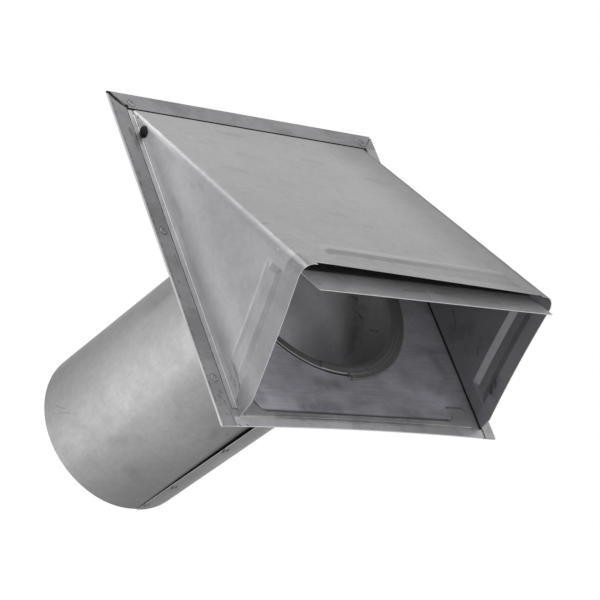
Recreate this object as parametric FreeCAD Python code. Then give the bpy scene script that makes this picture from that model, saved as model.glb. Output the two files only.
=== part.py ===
import FreeCAD, Part
import math
import os

# Hooded wall vent in folded galvanised sheet.
# Millimetres, +Z up. The hood opens towards -Y and downwards, the duct runs towards +Y.
# The origin is the centre of the duct's hole on the plate's back face, the plane y = 0.

# Sheet and fits
SHEET = 0.6
HEM_CLEARANCE = 0.1
EDGE_CLEARANCE = 0.8
HEM_DEPTH = 3 * SHEET + 2 * HEM_CLEARANCE
HEM_OUTER_RADIUS = HEM_DEPTH / 2
HEM_INNER_RADIUS = HEM_OUTER_RADIUS - SHEET

# Hood: outer corners of the sheet as if its bends were sharp
HOOD_HALF_WIDTH = 124.6
HOOD_TOP = 153.5
HOOD_BOTTOM = -129.2
FRONT_LEFT = (-132.08, -118.35, -72.36)
FRONT_RIGHT = (135.03, -112.84, -75.11)
CHEEK_MIDDLE_Y = -62.0
CHEEK_MIDDLE_FLARE = 1.5
PANEL_SLOPE = 63.3
PANEL_LENGTH = 254.4
CHEEK_LENGTH = (PANEL_LENGTH + 4.0, PANEL_LENGTH + 2.3)
CHEEK_FOOT_RISE = 6.0
PANEL_EDGE_HALF = HOOD_HALF_WIDTH - 6.1
BASE_BEND = 3.0
FRONT_BEND = 11.0
BEND_PROUD = 0.04
BEND_OVERRUN = 6.0
FLANGE_BEND = 1.1
BEND_BITE = 0.15
FLANGE_FOOT = HOOD_BOTTOM + 7.2
FLANGE_BACK = -(SHEET + HEM_CLEARANCE)
FLANGE_FRONT = FLANGE_BACK - SHEET

# Pressed stiffening beads of the hood: flat crest between two slopes
BEAD_ROOT = 1.5 * SHEET
TOP_BEAD_RISE = 1.4
TOP_BEAD_ALONG = PANEL_LENGTH - 19.9
TOP_BEAD_FOOT = 12.4
TOP_BEAD_CREST = 4.2
TOP_BEAD_LEFT = -(HOOD_HALF_WIDTH - 31.1)
TOP_BEAD_RIGHT = HOOD_HALF_WIDTH - 21.6
TOP_BEAD_END = 6.0
CHEEK_BEAD_RISE = 1.9
CHEEK_BEAD_ALONG = (PANEL_LENGTH - 23.6, PANEL_LENGTH - 20.3)
CHEEK_BEAD_FOOT = 10.4
CHEEK_BEAD_CREST = 3.9
CHEEK_BEAD_TOP = 14.0
CHEEK_BEAD_END = 5.2
CHEEK_BEAD_LOW_Y = -12.2
CHEEK_BEAD_LOW_CREST_Y = -16.4

# Wall plate, framed round the hood
LEFT_STRIP_EDGE = -(HOOD_HALF_WIDTH + 5.9)
RIGHT_STRIP_EDGE = HOOD_HALF_WIDTH + FLANGE_BEND + 0.1
TOP_STRIP_EDGE = HOOD_TOP - HEM_CLEARANCE
PLATE_LEFT = LEFT_STRIP_EDGE - 14.2
PLATE_RIGHT = RIGHT_STRIP_EDGE + 11.5
PLATE_TOP = TOP_STRIP_EDGE + 14.8
PLATE_BOTTOM = HOOD_BOTTOM - 8.7
BOTTOM_BOW = 2.8

# Mitred ends of the hems: (x, z) steps from the plate's outer and the strips' inner corner
LEFT_MITRE = ((0.6, -1.2), (1.0, 1.9))
RIGHT_MITRE = ((-0.6, -1.4), (-1.0, 0.2))
TOP_MITRE_LEFT = ((0.9, -0.2), (0.4, 3.4), (2.9, 2.8))
TOP_MITRE_RIGHT = ((-0.9, -0.2), (-0.4, 0.9))
MITRE_OVERRUN = 1.0

# Lip folded up along the bottom edge
LIP_EDGE = HOOD_BOTTOM - 0.4
LIP_BOW = 1.7
LIP_LEFT = LEFT_STRIP_EDGE + 0.3
LIP_RIGHT = RIGHT_STRIP_EDGE - 0.3

# Pressed bead with a pad at each end, low on the plate
PRESS_HEIGHT = 0.9
PRESS_EDGE = 0.5
PRESS_FOOT = HOOD_BOTTOM + 0.8
PRESS_TOP = HOOD_BOTTOM + 6.6
PAD_TOP = HOOD_BOTTOM + 19.2
PAD_CORNER = 4.0
LEFT_HOLLOW = ((3.0, 4.0), (4.6, 1.1), (8.0, 0.0))
RIGHT_HOLLOW = ((-5.0, 0.0), (-1.3, 1.4), (0.0, 5.0))
LEFT_PAD_OUTER = -(HOOD_HALF_WIDTH - 5.6)
LEFT_PAD_INNER = LEFT_PAD_OUTER + 14.0
RIGHT_PAD_OUTER = HOOD_HALF_WIDTH - 8.6
RIGHT_PAD_INNER = RIGHT_PAD_OUTER - 19.0

# Clinched joints through the hems and the hood's flange
BUTTON_RADIUS = 3.1
BUTTON_HEIGHT = 0.7
BUTTON_DISH = 0.4
BUTTON_SLOPE = 0.5
BUTTON_FLOOR_RADIUS = 1.6
PIT_RADIUS = 2.3
PIT_DEPTH = 0.35
BUTTON_HEIGHTS = (34.0, -97.0)
LEFT_BUTTON_X = LEFT_STRIP_EDGE - 5.8
RIGHT_BUTTON_X = RIGHT_STRIP_EDGE + 5.1
TOP_BUTTON_Z = TOP_STRIP_EDGE + 5.2
TOP_BUTTON_X = (1.0 - HOOD_HALF_WIDTH, HOOD_HALF_WIDTH - 1.8)

# Duct for a standard six inch pipe, pitched upwards behind the wall
DUCT_RADIUS = 76.2
DUCT_WALL = 0.6
DUCT_END_Y = 275.4
DUCT_END_Z = 32.15
PITCH_START_Y = 8.0
SHOULDER_LENGTH = 14.0
SHOULDER_TAPER = 3.0
SHOULDER_RISE = 0.25
RIM_BEND = 4.5
RIM_STEPS = 2
RIM_RADIUS = DUCT_RADIUS + 13.4
INNER_RIM_RADIUS = DUCT_RADIUS + 9.2
RIM_LIFT = 1.0
RIM_TURN = 200.0
RIM_OVERLAP = 3.0
LAP_DEPTH = 0.65
LAP_OPENING = 3.3
LAP_OPEN_AT = 108.0
LAP_ANGLE = 17.5
LAP_BLEND_START = -26.0
LAP_BLEND_END = -3.0
HOLE_CLEARANCE = 0.2

# Damper flap on its rod
HINGE_Y = -6.3
HINGE_Z = HOOD_TOP - 26.8
ROD_RADIUS = 2.0
ROD_FIT = 0.05
ROD_HALF_LENGTH = HOOD_HALF_WIDTH + 0.4
ROD_END_CLEARANCE = 0.4
FLAP_SLOPE = 63.7
FLAP_REACH = PANEL_LENGTH - 11.0
FLAP_LEFT = -(HOOD_HALF_WIDTH - 6.7)
FLAP_RIGHT = HOOD_HALF_WIDTH - 1.1
FLAP_CORNER = 0.6
CURL_FIT = 0.02
CURL_GAP = 0.3
CURL_HALF_LENGTH = HOOD_HALF_WIDTH - 7.6
NECK_LENGTH = 9.0

# Bushes snapped into the cheeks
BUSH_DOME_RADIUS = 4.2
BUSH_DOME_HEIGHT = 2.6
BUSH_NECK_RADIUS = 3.2
BUSH_NECK_CLEARANCE = 0.1
BUSH_COLLAR_RADIUS = 3.9
BUSH_COLLAR_THICKNESS = 1.0
BUSH_SEAT = 0.55

V = FreeCAD.Vector
X_AXIS = V(1, 0, 0)
Y_AXIS = V(0, 1, 0)


def block(x0, x1, y0, y1, z0, z1):
    return Part.makeBox(x1 - x0, y1 - y0, z1 - z0, V(x0, y0, z0))


def line(a, b):
    return Part.LineSegment(a, b).toShape()


def arc(a, b, c):
    return Part.Arc(a, b, c).toShape()


def face_of(edges):
    return Part.Face(Part.Wire(Part.__sortEdges__(edges)))


def outline_xz(points, y):
    return Part.makePolygon([V(x, y, z) for x, z in points + points[:1]])


def prism_xz(points, y0, y1):
    return Part.Face(outline_xz(points, y0)).extrude(V(0, y1 - y0, 0))


def prism_yz(points, x0, x1):
    outline = Part.makePolygon([V(x0, y, z) for y, z in points + points[:1]])
    return Part.Face(outline).extrude(V(x1 - x0, 0, 0))


def prism_between(ring_a, ring_b):
    """Solid with flat sides between two rings that have the same number of corners."""
    sides = [ring_a, ring_b]
    for k in range(len(ring_a)):
        j = (k + 1) % len(ring_a)
        sides.append([ring_a[k], ring_a[j], ring_b[j], ring_b[k]])
    faces = [Part.Face(Part.makePolygon(side + side[:1])) for side in sides]
    solid = Part.Solid(Part.makeShell(faces))
    if solid.Volume < 0:
        solid.reverse()
    return solid


def bowed_region(x0, x1, z_edge, bow, z_far, y0, y1):
    """Solid between an edge bowed upwards in the middle of the plate and a level line."""
    a, b = V(x0, y0, z_edge), V(x1, y0, z_edge)
    middle = V((x0 + x1) / 2, y0, z_edge + bow)
    far_b, far_a = V(x1, y0, z_far), V(x0, y0, z_far)
    edges = [arc(a, middle, b), line(b, far_b), line(far_b, far_a), line(far_a, a)]
    return face_of(edges).extrude(V(0, y1 - y0, 0))


# Wall plate

def hem_section(at):
    """Folded hem seen end on: `at` turns (distance inwards, y) into a point."""
    centre = HEM_OUTER_RADIUS
    inner = HEM_INNER_RADIUS
    mid_y = -HEM_OUTER_RADIUS

    def section(strip_width):
        p = [at(centre, 0), at(0, mid_y), at(centre, -HEM_DEPTH)]
        q = [at(centre, -HEM_DEPTH + SHEET), at(centre - inner, mid_y), at(centre, -SHEET)]
        tip = at(strip_width, -HEM_DEPTH)
        tip_back = at(strip_width, -HEM_DEPTH + SHEET)
        edges = [arc(*p), line(p[2], tip), line(tip, tip_back), line(tip_back, q[0])]
        return face_of(edges + [arc(*q), line(q[2], p[0])])

    return section


def above_side_hem(edge, strip_edge, mitre):
    """What lies above the mitred end of a side hem."""
    (outer_x, outer_z), (inner_x, inner_z) = mitre
    beyond = edge - math.copysign(MITRE_OVERRUN, outer_x)
    top = PLATE_TOP + MITRE_OVERRUN
    inner = strip_edge + inner_x
    above = [(beyond, PLATE_TOP + outer_z + MITRE_OVERRUN), (edge + outer_x, PLATE_TOP + outer_z)]
    above += [(inner, TOP_STRIP_EDGE + inner_z), (inner, top), (beyond, top)]
    return prism_xz(above, -2 * HEM_DEPTH, HEM_DEPTH)


def left_hem():
    section = hem_section(lambda d, y: V(PLATE_LEFT + d, y, PLATE_BOTTOM))
    solid = section(LEFT_STRIP_EDGE - PLATE_LEFT).extrude(V(0, 0, PLATE_TOP - PLATE_BOTTOM))
    return solid.cut(above_side_hem(PLATE_LEFT, LEFT_STRIP_EDGE, LEFT_MITRE))


def right_hem():
    section = hem_section(lambda d, y: V(PLATE_RIGHT - d, y, PLATE_BOTTOM))
    solid = section(PLATE_RIGHT - RIGHT_STRIP_EDGE).extrude(V(0, 0, PLATE_TOP - PLATE_BOTTOM))
    return solid.cut(above_side_hem(PLATE_RIGHT, RIGHT_STRIP_EDGE, RIGHT_MITRE))


def top_hem():
    section = hem_section(lambda d, y: V(PLATE_LEFT, y, PLATE_TOP - d))
    solid = section(PLATE_TOP - TOP_STRIP_EDGE).extrude(V(PLATE_RIGHT - PLATE_LEFT, 0, 0))
    low, high = TOP_STRIP_EDGE - MITRE_OVERRUN, PLATE_TOP + MITRE_OVERRUN
    ends = []
    for edge, strip_edge, mitre in ((PLATE_LEFT, LEFT_STRIP_EDGE, TOP_MITRE_LEFT),
                                    (PLATE_RIGHT, RIGHT_STRIP_EDGE, TOP_MITRE_RIGHT)):
        outer, inner = mitre[0], mitre[1:]
        beyond = edge - math.copysign(MITRE_OVERRUN, outer[0])
        end = [(edge + outer[0], high), (edge + outer[0], PLATE_TOP + outer[1])]
        end += [(strip_edge + x, TOP_STRIP_EDGE + z) for x, z in inner]
        end += [(end[-1][0], low), (beyond, low), (beyond, high)]
        ends.append(prism_xz(end, -2 * HEM_DEPTH, HEM_DEPTH))
    return solid.cut(ends)


def pressed_outline():
    """Outline of the bead and its two pads, on the plate's front face."""
    y = -SHEET
    r = PAD_CORNER
    bulge = r * (1 - math.sqrt(0.5))
    foot_l, foot_r = V(LEFT_PAD_OUTER, y, PRESS_FOOT), V(RIGHT_PAD_OUTER, y, PRESS_FOOT)
    foot_m = V((LEFT_PAD_OUTER + RIGHT_PAD_OUTER) / 2, y, PRESS_FOOT + LIP_BOW)
    down_in, left_hollow, along_in = [V(LEFT_PAD_INNER + x, y, PRESS_TOP + z) for x, z in LEFT_HOLLOW]
    left = [V(LEFT_PAD_OUTER, y, PAD_TOP), V(LEFT_PAD_INNER - r, y, PAD_TOP)]
    left_round = V(LEFT_PAD_INNER - bulge, y, PAD_TOP - bulge)
    left += [V(LEFT_PAD_INNER, y, PAD_TOP - r), down_in, along_in]
    along_out, right_hollow, up_out = [V(RIGHT_PAD_INNER + x, y, PRESS_TOP + z)
                                       for x, z in RIGHT_HOLLOW]
    right = [along_out, up_out, V(RIGHT_PAD_INNER, y, PAD_TOP)]
    right_round = V(RIGHT_PAD_OUTER - bulge, y, PAD_TOP - bulge)
    right += [V(RIGHT_PAD_OUTER - r, y, PAD_TOP), V(RIGHT_PAD_OUTER, y, PAD_TOP - r)]
    edges = [arc(foot_l, foot_m, foot_r), line(foot_l, left[0]), line(left[0], left[1])]
    edges += [arc(left[1], left_round, left[2]), line(left[2], left[3])]
    edges += [arc(left[3], left_hollow, left[4]), line(left[4], right[0])]
    edges += [arc(right[0], right_hollow, right[1]), line(right[1], right[2])]
    edges += [line(right[2], right[3]), arc(right[3], right_round, right[4])]
    edges.append(line(right[4], foot_r))
    return face_of(edges)


def pressed_bead():
    """Raised face of the bead and the hollow behind it."""
    outline = pressed_outline()
    raised = outline.extrude(V(0, -PRESS_HEIGHT, 0))
    top_y = -SHEET - PRESS_HEIGHT
    rim = [e for e in raised.Edges if e.BoundBox.YMax < top_y + 0.01]
    raised = raised.makeChamfer(PRESS_EDGE, rim)
    hollow = outline.makeOffset2D(-SHEET)
    hollow.translate(V(0, SHEET, 0))
    return raised, hollow.extrude(V(0, -PRESS_HEIGHT, 0))


def button(x, z):
    """Raised ring of a clinched joint, with a sunk floor, on the front of a hem."""
    top = -HEM_DEPTH - BUTTON_HEIGHT
    foot = Part.makeCone(BUTTON_RADIUS, BUTTON_RADIUS - BUTTON_SLOPE, BUTTON_HEIGHT,
                         V(x, -HEM_DEPTH, z), V(0, -1, 0))
    root = Part.makeCylinder(BUTTON_RADIUS, SHEET / 2, V(x, -HEM_DEPTH, z), Y_AXIS)
    dish = Part.makeCylinder(BUTTON_FLOOR_RADIUS, BUTTON_DISH, V(x, top, z), Y_AXIS)
    return foot.fuse(root).cut(dish)


def button_pit(x, z):
    return Part.makeCylinder(PIT_RADIUS, PIT_DEPTH, V(x, -PIT_DEPTH, z), Y_AXIS)


def button_places():
    sides = [(x, z) for x in (LEFT_BUTTON_X, RIGHT_BUTTON_X) for z in BUTTON_HEIGHTS]
    return sides + [(x, TOP_BUTTON_Z) for x in TOP_BUTTON_X]


def make_wall_plate():
    back = block(PLATE_LEFT + HEM_OUTER_RADIUS, PLATE_RIGHT - HEM_OUTER_RADIUS, -SHEET, 0,
                 PLATE_BOTTOM, PLATE_TOP - HEM_OUTER_RADIUS)
    lip = bowed_region(LIP_LEFT, LIP_RIGHT, LIP_EDGE, LIP_BOW, PLATE_BOTTOM, -2 * SHEET, -SHEET)
    raised, hollow = pressed_bead()
    plate = back.fuse([left_hem(), right_hem(), top_hem(), lip, raised])
    plate = plate.fuse([button(x, z) for x, z in button_places()])
    hole_radius = DUCT_RADIUS + SHOULDER_RISE + RIM_BEND - 2 * DUCT_WALL + HOLE_CLEARANCE
    hole = Part.makeCylinder(hole_radius, 10, V(0, -5, 0), Y_AXIS)
    below = bowed_region(PLATE_LEFT - 1, PLATE_RIGHT + 1, PLATE_BOTTOM, BOTTOM_BOW,
                         PLATE_BOTTOM - 10, -5, 1)
    cuts = [hole, below, hollow] + [button_pit(x, z) for x, z in button_places()]
    return plate.cut(cuts).removeSplitter()


# Hood

def panel_directions():
    """Down the top panel, and square to it into the hood."""
    slope = math.radians(PANEL_SLOPE)
    down = V(0, -math.cos(slope), -math.sin(slope))
    return down, V(0, math.sin(slope), -math.cos(slope))


def panel_origin():
    return V(0, FLANGE_FRONT, HOOD_TOP)


def along_ridge(side, share):
    """Point of a ridge line: share is 0 at the flange and 1 at the front corner."""
    base = V(side * HOOD_HALF_WIDTH, FLANGE_FRONT, HOOD_TOP)
    corner = V(*(FRONT_LEFT if side < 0 else FRONT_RIGHT))
    return base + (corner - base) * share


def panel_point(x, along):
    """Point of the top panel's outer face at a distance down the panel."""
    left, right = [along_ridge(side, along / PANEL_LENGTH) for side in (-1, 1)]
    return left + (right - left) * ((x - left.x) / (right.x - left.x))


def cheek_middle(side, along):
    """Point where the cheek's two flats meet on the line at a distance down the panel."""
    down, back = panel_directions()
    point = panel_origin() + down * along
    depth = (CHEEK_MIDDLE_Y - point.y) / back.y
    return point + back * depth + X_AXIS * (side * (HOOD_HALF_WIDTH + CHEEK_MIDDLE_FLARE))


def hood_corners(side, inset):
    """Base, front, middle and foot of one cheek, from its outside or inset by the sheet."""
    down, back = panel_directions()
    beyond = max(CHEEK_LENGTH) + 2
    step = X_AXIS * (-side * inset)
    drop = V(0, 0, -inset / math.cos(math.radians(PANEL_SLOPE)))
    base_share = (FLANGE_BACK - FLANGE_FRONT) / (along_ridge(side, 1).y - FLANGE_FRONT)
    base = along_ridge(side, base_share) + step + drop
    run = (along_ridge(side, 1) - along_ridge(side, 0)).dot(down)
    front = along_ridge(side, beyond / run) + step + back * inset
    middle = cheek_middle(side, beyond) + step
    edge = panel_origin() + down * beyond
    to_wall = (FLANGE_BACK - edge.y) / back.y
    foot = edge + back * to_wall + X_AXIS * (side * HOOD_HALF_WIDTH) + step
    return base, front, middle, foot


def square_to(ridge, vector):
    """Unit direction of a vector once its part along the ridge is taken off."""
    return (vector - ridge * vector.dot(ridge)).normalize()


def ridge_cutter(side, inset):
    """What lies outside the round bend between the top panel and a cheek."""
    base, front, middle, foot = hood_corners(side, inset)
    other_base, other_front = hood_corners(-side, inset)[:2]
    ridge = (front - base).normalize()
    to_cheek = square_to(ridge, middle - front)
    centres, radii, tops, cheeks = [], [], [], []
    for corner, across, bend, reach in ((base, other_base, BASE_BEND, -BEND_OVERRUN),
                                        (front, other_front, FRONT_BEND, BEND_OVERRUN)):
        to_top = square_to(ridge, across - corner)
        lean = to_top.dot(to_cheek)
        tops.append((to_top * lean - to_cheek).normalize())
        cheeks.append((to_cheek * lean - to_top).normalize())
        outward = tops[-1] + cheeks[-1]
        radii.append(bend - inset)
        depth = (radii[-1] - BEND_PROUD) / (1 + tops[-1].dot(cheeks[-1]))
        centres.append(corner + ridge * reach - outward * depth)
    axis = centres[1] - centres[0]
    cone = Part.makeCone(radii[0], radii[1], axis.Length, centres[0], axis)
    top, cheek = [(pair[0] + pair[1]).normalize() for pair in (tops, cheeks)]
    rings = []
    for centre, radius in zip(centres, radii):
        far = radius + BEND_OVERRUN
        rings.append([centre, centre + top * far, centre + (top + cheek) * far, centre + cheek * far])
    return prism_between(rings[0], rings[1]).cut(cone)


def hood_body(inset):
    """Solid inside the hood's sheet, or inside its outer face, with round ridges."""
    (bl, tl, ml, fl), (br, tr, mr, fr) = [hood_corners(side, inset) for side in (-1, 1)]
    faces = [Part.makeRuledSurface(line(bl, br), line(tl, tr))]
    for points in ((bl, tl, ml), (bl, ml, fl), (br, tr, mr), (br, mr, fr),
                   (bl, br, fr, fl), (tl, ml, fl, fr, mr, tr)):
        faces.append(Part.Face(Part.makePolygon(list(points) + [points[0]])))
    solid = Part.Solid(Part.makeShell(faces))
    if solid.Volume < 0:
        solid.reverse()
    rise = 100 * math.tan(math.radians(CHEEK_FOOT_RISE))
    under = [(5, HOOD_BOTTOM), (0, HOOD_BOTTOM), (-100, HOOD_BOTTOM + rise)]
    under += [(-100, HOOD_BOTTOM - 50), (5, HOOD_BOTTOM - 50)]
    floor = prism_yz(under, -200, 200)
    return solid.cut([ridge_cutter(-1, inset), ridge_cutter(1, inset), floor])


def cheek_point(side, along, depth, height, rear):
    """Point at a height over one of the cheek's two flats, by its distances down and in."""
    base, front, middle, foot = hood_corners(side, 0.0)
    down, back = panel_directions()
    normal = (middle - base).cross((foot if rear else front) - base)
    flat = panel_origin() + down * along + back * depth
    x = base.x - (flat - base).dot(V(0, normal.y, normal.z)) / normal.x
    return V(x + side * height, flat.y, flat.z)


def crease_depth(side, along):
    """How deep the crease between the cheek's flats is at a distance down the panel."""
    base, front, middle, foot = hood_corners(side, 0.0)
    down, back = panel_directions()
    start, end = base - panel_origin(), middle - panel_origin()
    share = (along - start.dot(down)) / (end - start).dot(down)
    return start.dot(back) + share * (end - start).dot(back)


def depth_at(along, y):
    down, back = panel_directions()
    return (y - panel_origin().y - down.y * along) / back.y


def pressed_block(foot, crest, inward, inset):
    """Solid with sloping sides from its crest down past its foot, moved in by the inset."""
    rise = (crest[0] - foot[0]).dot(inward) * -1
    root = [f + (f - c) * (BEAD_ROOT / rise) for f, c in zip(foot, crest)]
    step = inward * inset
    return prism_between([c + step for c in crest], [r + step for r in root])


def cheek_bead(side, inset):
    middle = CHEEK_BEAD_ALONG[0 if side < 0 else 1]
    blocks = []
    for rear in (False, True):
        foot, crest = [], []
        for half, low_y, end, height, ring in (
                (CHEEK_BEAD_FOOT, CHEEK_BEAD_LOW_Y, 0, 0, foot),
                (CHEEK_BEAD_CREST, CHEEK_BEAD_LOW_CREST_Y, CHEEK_BEAD_END, CHEEK_BEAD_RISE, crest)):
            near, far = middle - half, middle + half
            joint = [(near, crease_depth(side, near)), (far, crease_depth(side, far))]
            if rear:
                other = [(far, depth_at(far, low_y)), (near, depth_at(near, low_y))]
            else:
                other = [(far, CHEEK_BEAD_TOP + end), (near, CHEEK_BEAD_TOP + end)]
            ring += [cheek_point(side, u, v, height, rear) for u, v in joint + other]
        blocks.append(pressed_block(foot, crest, X_AXIS * -side, inset))
    return blocks[0].fuse(blocks[1])


def top_bead(inset):
    down, back = panel_directions()
    left, right = [panel_point(x, TOP_BEAD_ALONG) for x in (TOP_BEAD_LEFT, TOP_BEAD_RIGHT)]
    across = (right - left).normalize()
    inward = across.cross(down).normalize()
    if inward.dot(back) < 0:
        inward = inward * -1
    slope = inward.cross(across).normalize()
    rings = []
    for half, end, rise in ((TOP_BEAD_FOOT, 0, 0), (TOP_BEAD_CREST, TOP_BEAD_END, TOP_BEAD_RISE)):
        a, b = left + across * end - inward * rise, right - across * end - inward * rise
        rings.append([a - slope * half, b - slope * half, b + slope * half, a + slope * half])
    return pressed_block(rings[0], rings[1], inward, inset)


def hood_beads(inset):
    return [top_bead(inset), cheek_bead(-1, inset), cheek_bead(1, inset)]


def front_cut():
    """Everything in front of the hood's front edges."""
    down, back = panel_directions()
    left, right = CHEEK_LENGTH
    cuts = []
    for length, x_from, x_to, depth in ((left, -200, 0, 200), (right, 0, 200, 200),
                                        (PANEL_LENGTH, -PANEL_EDGE_HALF, PANEL_EDGE_HALF, 20)):
        edge = panel_origin() + down * length
        corners = [edge - back * 40, edge + back * depth]
        corners += [corners[1] + down * 200, corners[0] + down * 200]
        cuts.append(prism_yz([(p.y, p.z) for p in corners], x_from, x_to))
    return cuts


def flange():
    """Flat frame round the hood's base, held under the plate's hems."""
    outer_left = PLATE_LEFT + HEM_OUTER_RADIUS + EDGE_CLEARANCE
    outer_right = PLATE_RIGHT - HEM_OUTER_RADIUS - EDGE_CLEARANCE
    outer_top = PLATE_TOP - HEM_OUTER_RADIUS - EDGE_CLEARANCE
    return block(outer_left, outer_right, FLANGE_FRONT, FLANGE_BACK, FLANGE_FOOT, outer_top)


def flange_bend(side):
    """Rounded inside corner between a cheek and the flange."""
    r = FLANGE_BEND
    root = side * (HOOD_HALF_WIDTH - BEND_BITE)
    deep = side * (HOOD_HALF_WIDTH - SHEET / 2)
    z = FLANGE_FOOT
    far = V(root + side * r, FLANGE_FRONT, z)
    d = r * (1 - math.cos(math.pi / 4))
    middle = V(root + side * d, FLANGE_FRONT - d, z)
    near = V(root, FLANGE_FRONT - r, z)
    mid_y = (FLANGE_FRONT + FLANGE_BACK) / 2
    low, inside = V(deep, FLANGE_FRONT - r, z), V(deep, mid_y, z)
    outside = V(far.x, mid_y, z)
    edges = [arc(far, middle, near), line(near, low), line(low, inside)]
    edges += [line(inside, outside), line(outside, far)]
    return face_of(edges).extrude(V(0, 0, HOOD_TOP - 6 - FLANGE_FOOT))


def bend_groove(side):
    """Groove behind the flange's bend, where the sheet curves away from the plate."""
    r = FLANGE_BEND + SHEET
    centre_x, centre_y = HOOD_HALF_WIDTH + FLANGE_BEND, FLANGE_BACK - r
    inner_x = centre_x - r - BEND_BITE
    far = V(side * centre_x, FLANGE_BACK, FLANGE_FOOT)
    middle = V(side * (centre_x - r * math.sin(math.pi / 4)), centre_y + r * math.cos(math.pi / 4),
               FLANGE_FOOT)
    near = V(side * (centre_x - r), centre_y, FLANGE_FOOT)
    corners = [V(side * inner_x, centre_y, FLANGE_FOOT), V(side * inner_x, 1, FLANGE_FOOT)]
    corners.append(V(side * centre_x, 1, FLANGE_FOOT))
    edges = [arc(far, middle, near), line(near, corners[0]), line(corners[0], corners[1])]
    edges += [line(corners[1], corners[2]), line(corners[2], far)]
    return face_of(edges).extrude(V(0, 0, HOOD_TOP - FLANGE_FOOT))


def make_hood():
    outer, inner = hood_body(0.0), hood_body(SHEET)
    raised = [bead.cut(inner) for bead in hood_beads(0.0)]
    solid = outer.fuse([flange(), flange_bend(-1), flange_bend(1)] + raised)
    behind = block(-200, 200, FLANGE_BACK, 20, -200, 200)
    below = block(-HOOD_HALF_WIDTH + SHEET, HOOD_HALF_WIDTH - SHEET, -200, 5,
                  HOOD_BOTTOM - 1, HOOD_BOTTOM + 1)
    sheet = solid.cut([inner, behind, below]).cut(hood_beads(SHEET)).cut(front_cut())
    sheet = sheet.cut([bend_groove(-1), bend_groove(1)])
    bores = [Part.makeCylinder(BUSH_NECK_RADIUS + BUSH_NECK_CLEARANCE, 20,
                               V(side * HOOD_HALF_WIDTH - 10, HINGE_Y, HINGE_Z), X_AXIS)
             for side in (-1, 1)]
    return sheet.cut(bores).removeSplitter()


# Duct

def ring_point(phi, radius, s=0.0):
    """Point at an angle from the bottom, turning towards +X, on a ring facing +Y."""
    a = math.radians(phi)
    return V(radius * math.sin(a), s, -radius * math.cos(a))


def duct_section(depth, s, rise=0.0):
    """Rolled sheet seen end on: its inner end is laid under its outer end."""
    outline = []
    for inset in (0.0, DUCT_WALL):
        r = DUCT_RADIUS + rise - inset
        turn = 360.0 + LAP_BLEND_START
        p = [ring_point(turn * k / 4, r, s) for k in range(5)]
        blend = (LAP_BLEND_START + LAP_BLEND_END) / 2
        q = ring_point(LAP_BLEND_END, r - depth, s)
        end = ring_point(LAP_ANGLE, r - depth, s)
        between = ring_point((LAP_BLEND_END + LAP_ANGLE) / 2, r - depth, s)
        edges = [arc(p[0], p[1], p[2]), arc(p[2], p[3], p[4])]
        edges.append(arc(p[4], ring_point(blend, r - depth / 2, s), q))
        edges.append(arc(q, between, end))
        outline.append((p[0], end, edges))
    (start_out, end_out, outer), (start_in, end_in, inner) = outline
    edges = outer + [line(end_out, end_in)] + inner[::-1] + [line(start_in, start_out)]
    return Part.Wire(edges)


def rim_foot_y():
    """Where the rim's bend runs into the duct's straight wall."""
    return -SHEET - HEM_CLEARANCE - DUCT_WALL + RIM_BEND


def rim(phi_start, phi_end, flat_radius, offset, thick=DUCT_WALL):
    """Part of the duct's front end turned out over the plate."""
    tube = DUCT_RADIUS + SHOULDER_RISE - offset
    face_y = rim_foot_y() - RIM_BEND - offset
    centre = V(tube - DUCT_WALL + RIM_BEND, face_y + RIM_BEND, 0)

    def bend_points(r):
        turns = [math.pi / 2 * k / RIM_STEPS for k in range(RIM_STEPS + 1)]
        return [centre - V(r * math.sin(t), r * math.cos(t), 0) for t in turns]

    lift = V(0, -RIM_LIFT * (flat_radius - centre.x) / (RIM_RADIUS - centre.x), 0)
    front, back = bend_points(RIM_BEND), bend_points(RIM_BEND - thick)
    foot_front, foot_back = V(front[-1].x, rim_foot_y(), 0), V(back[-1].x, rim_foot_y(), 0)
    if offset > 0:
        front.append(foot_front)
        back.append(foot_back)
    tip = V(flat_radius, face_y, 0) + lift
    outline = [tip] + front + back[::-1] + [tip + V(0, thick, 0), tip]
    section = Part.Face(Part.makePolygon(outline))
    section.rotate(V(0, 0, 0), Y_AXIS, 90 - phi_start)
    return section.revolve(V(0, 0, 0), Y_AXIS, -(phi_end - phi_start))


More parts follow.
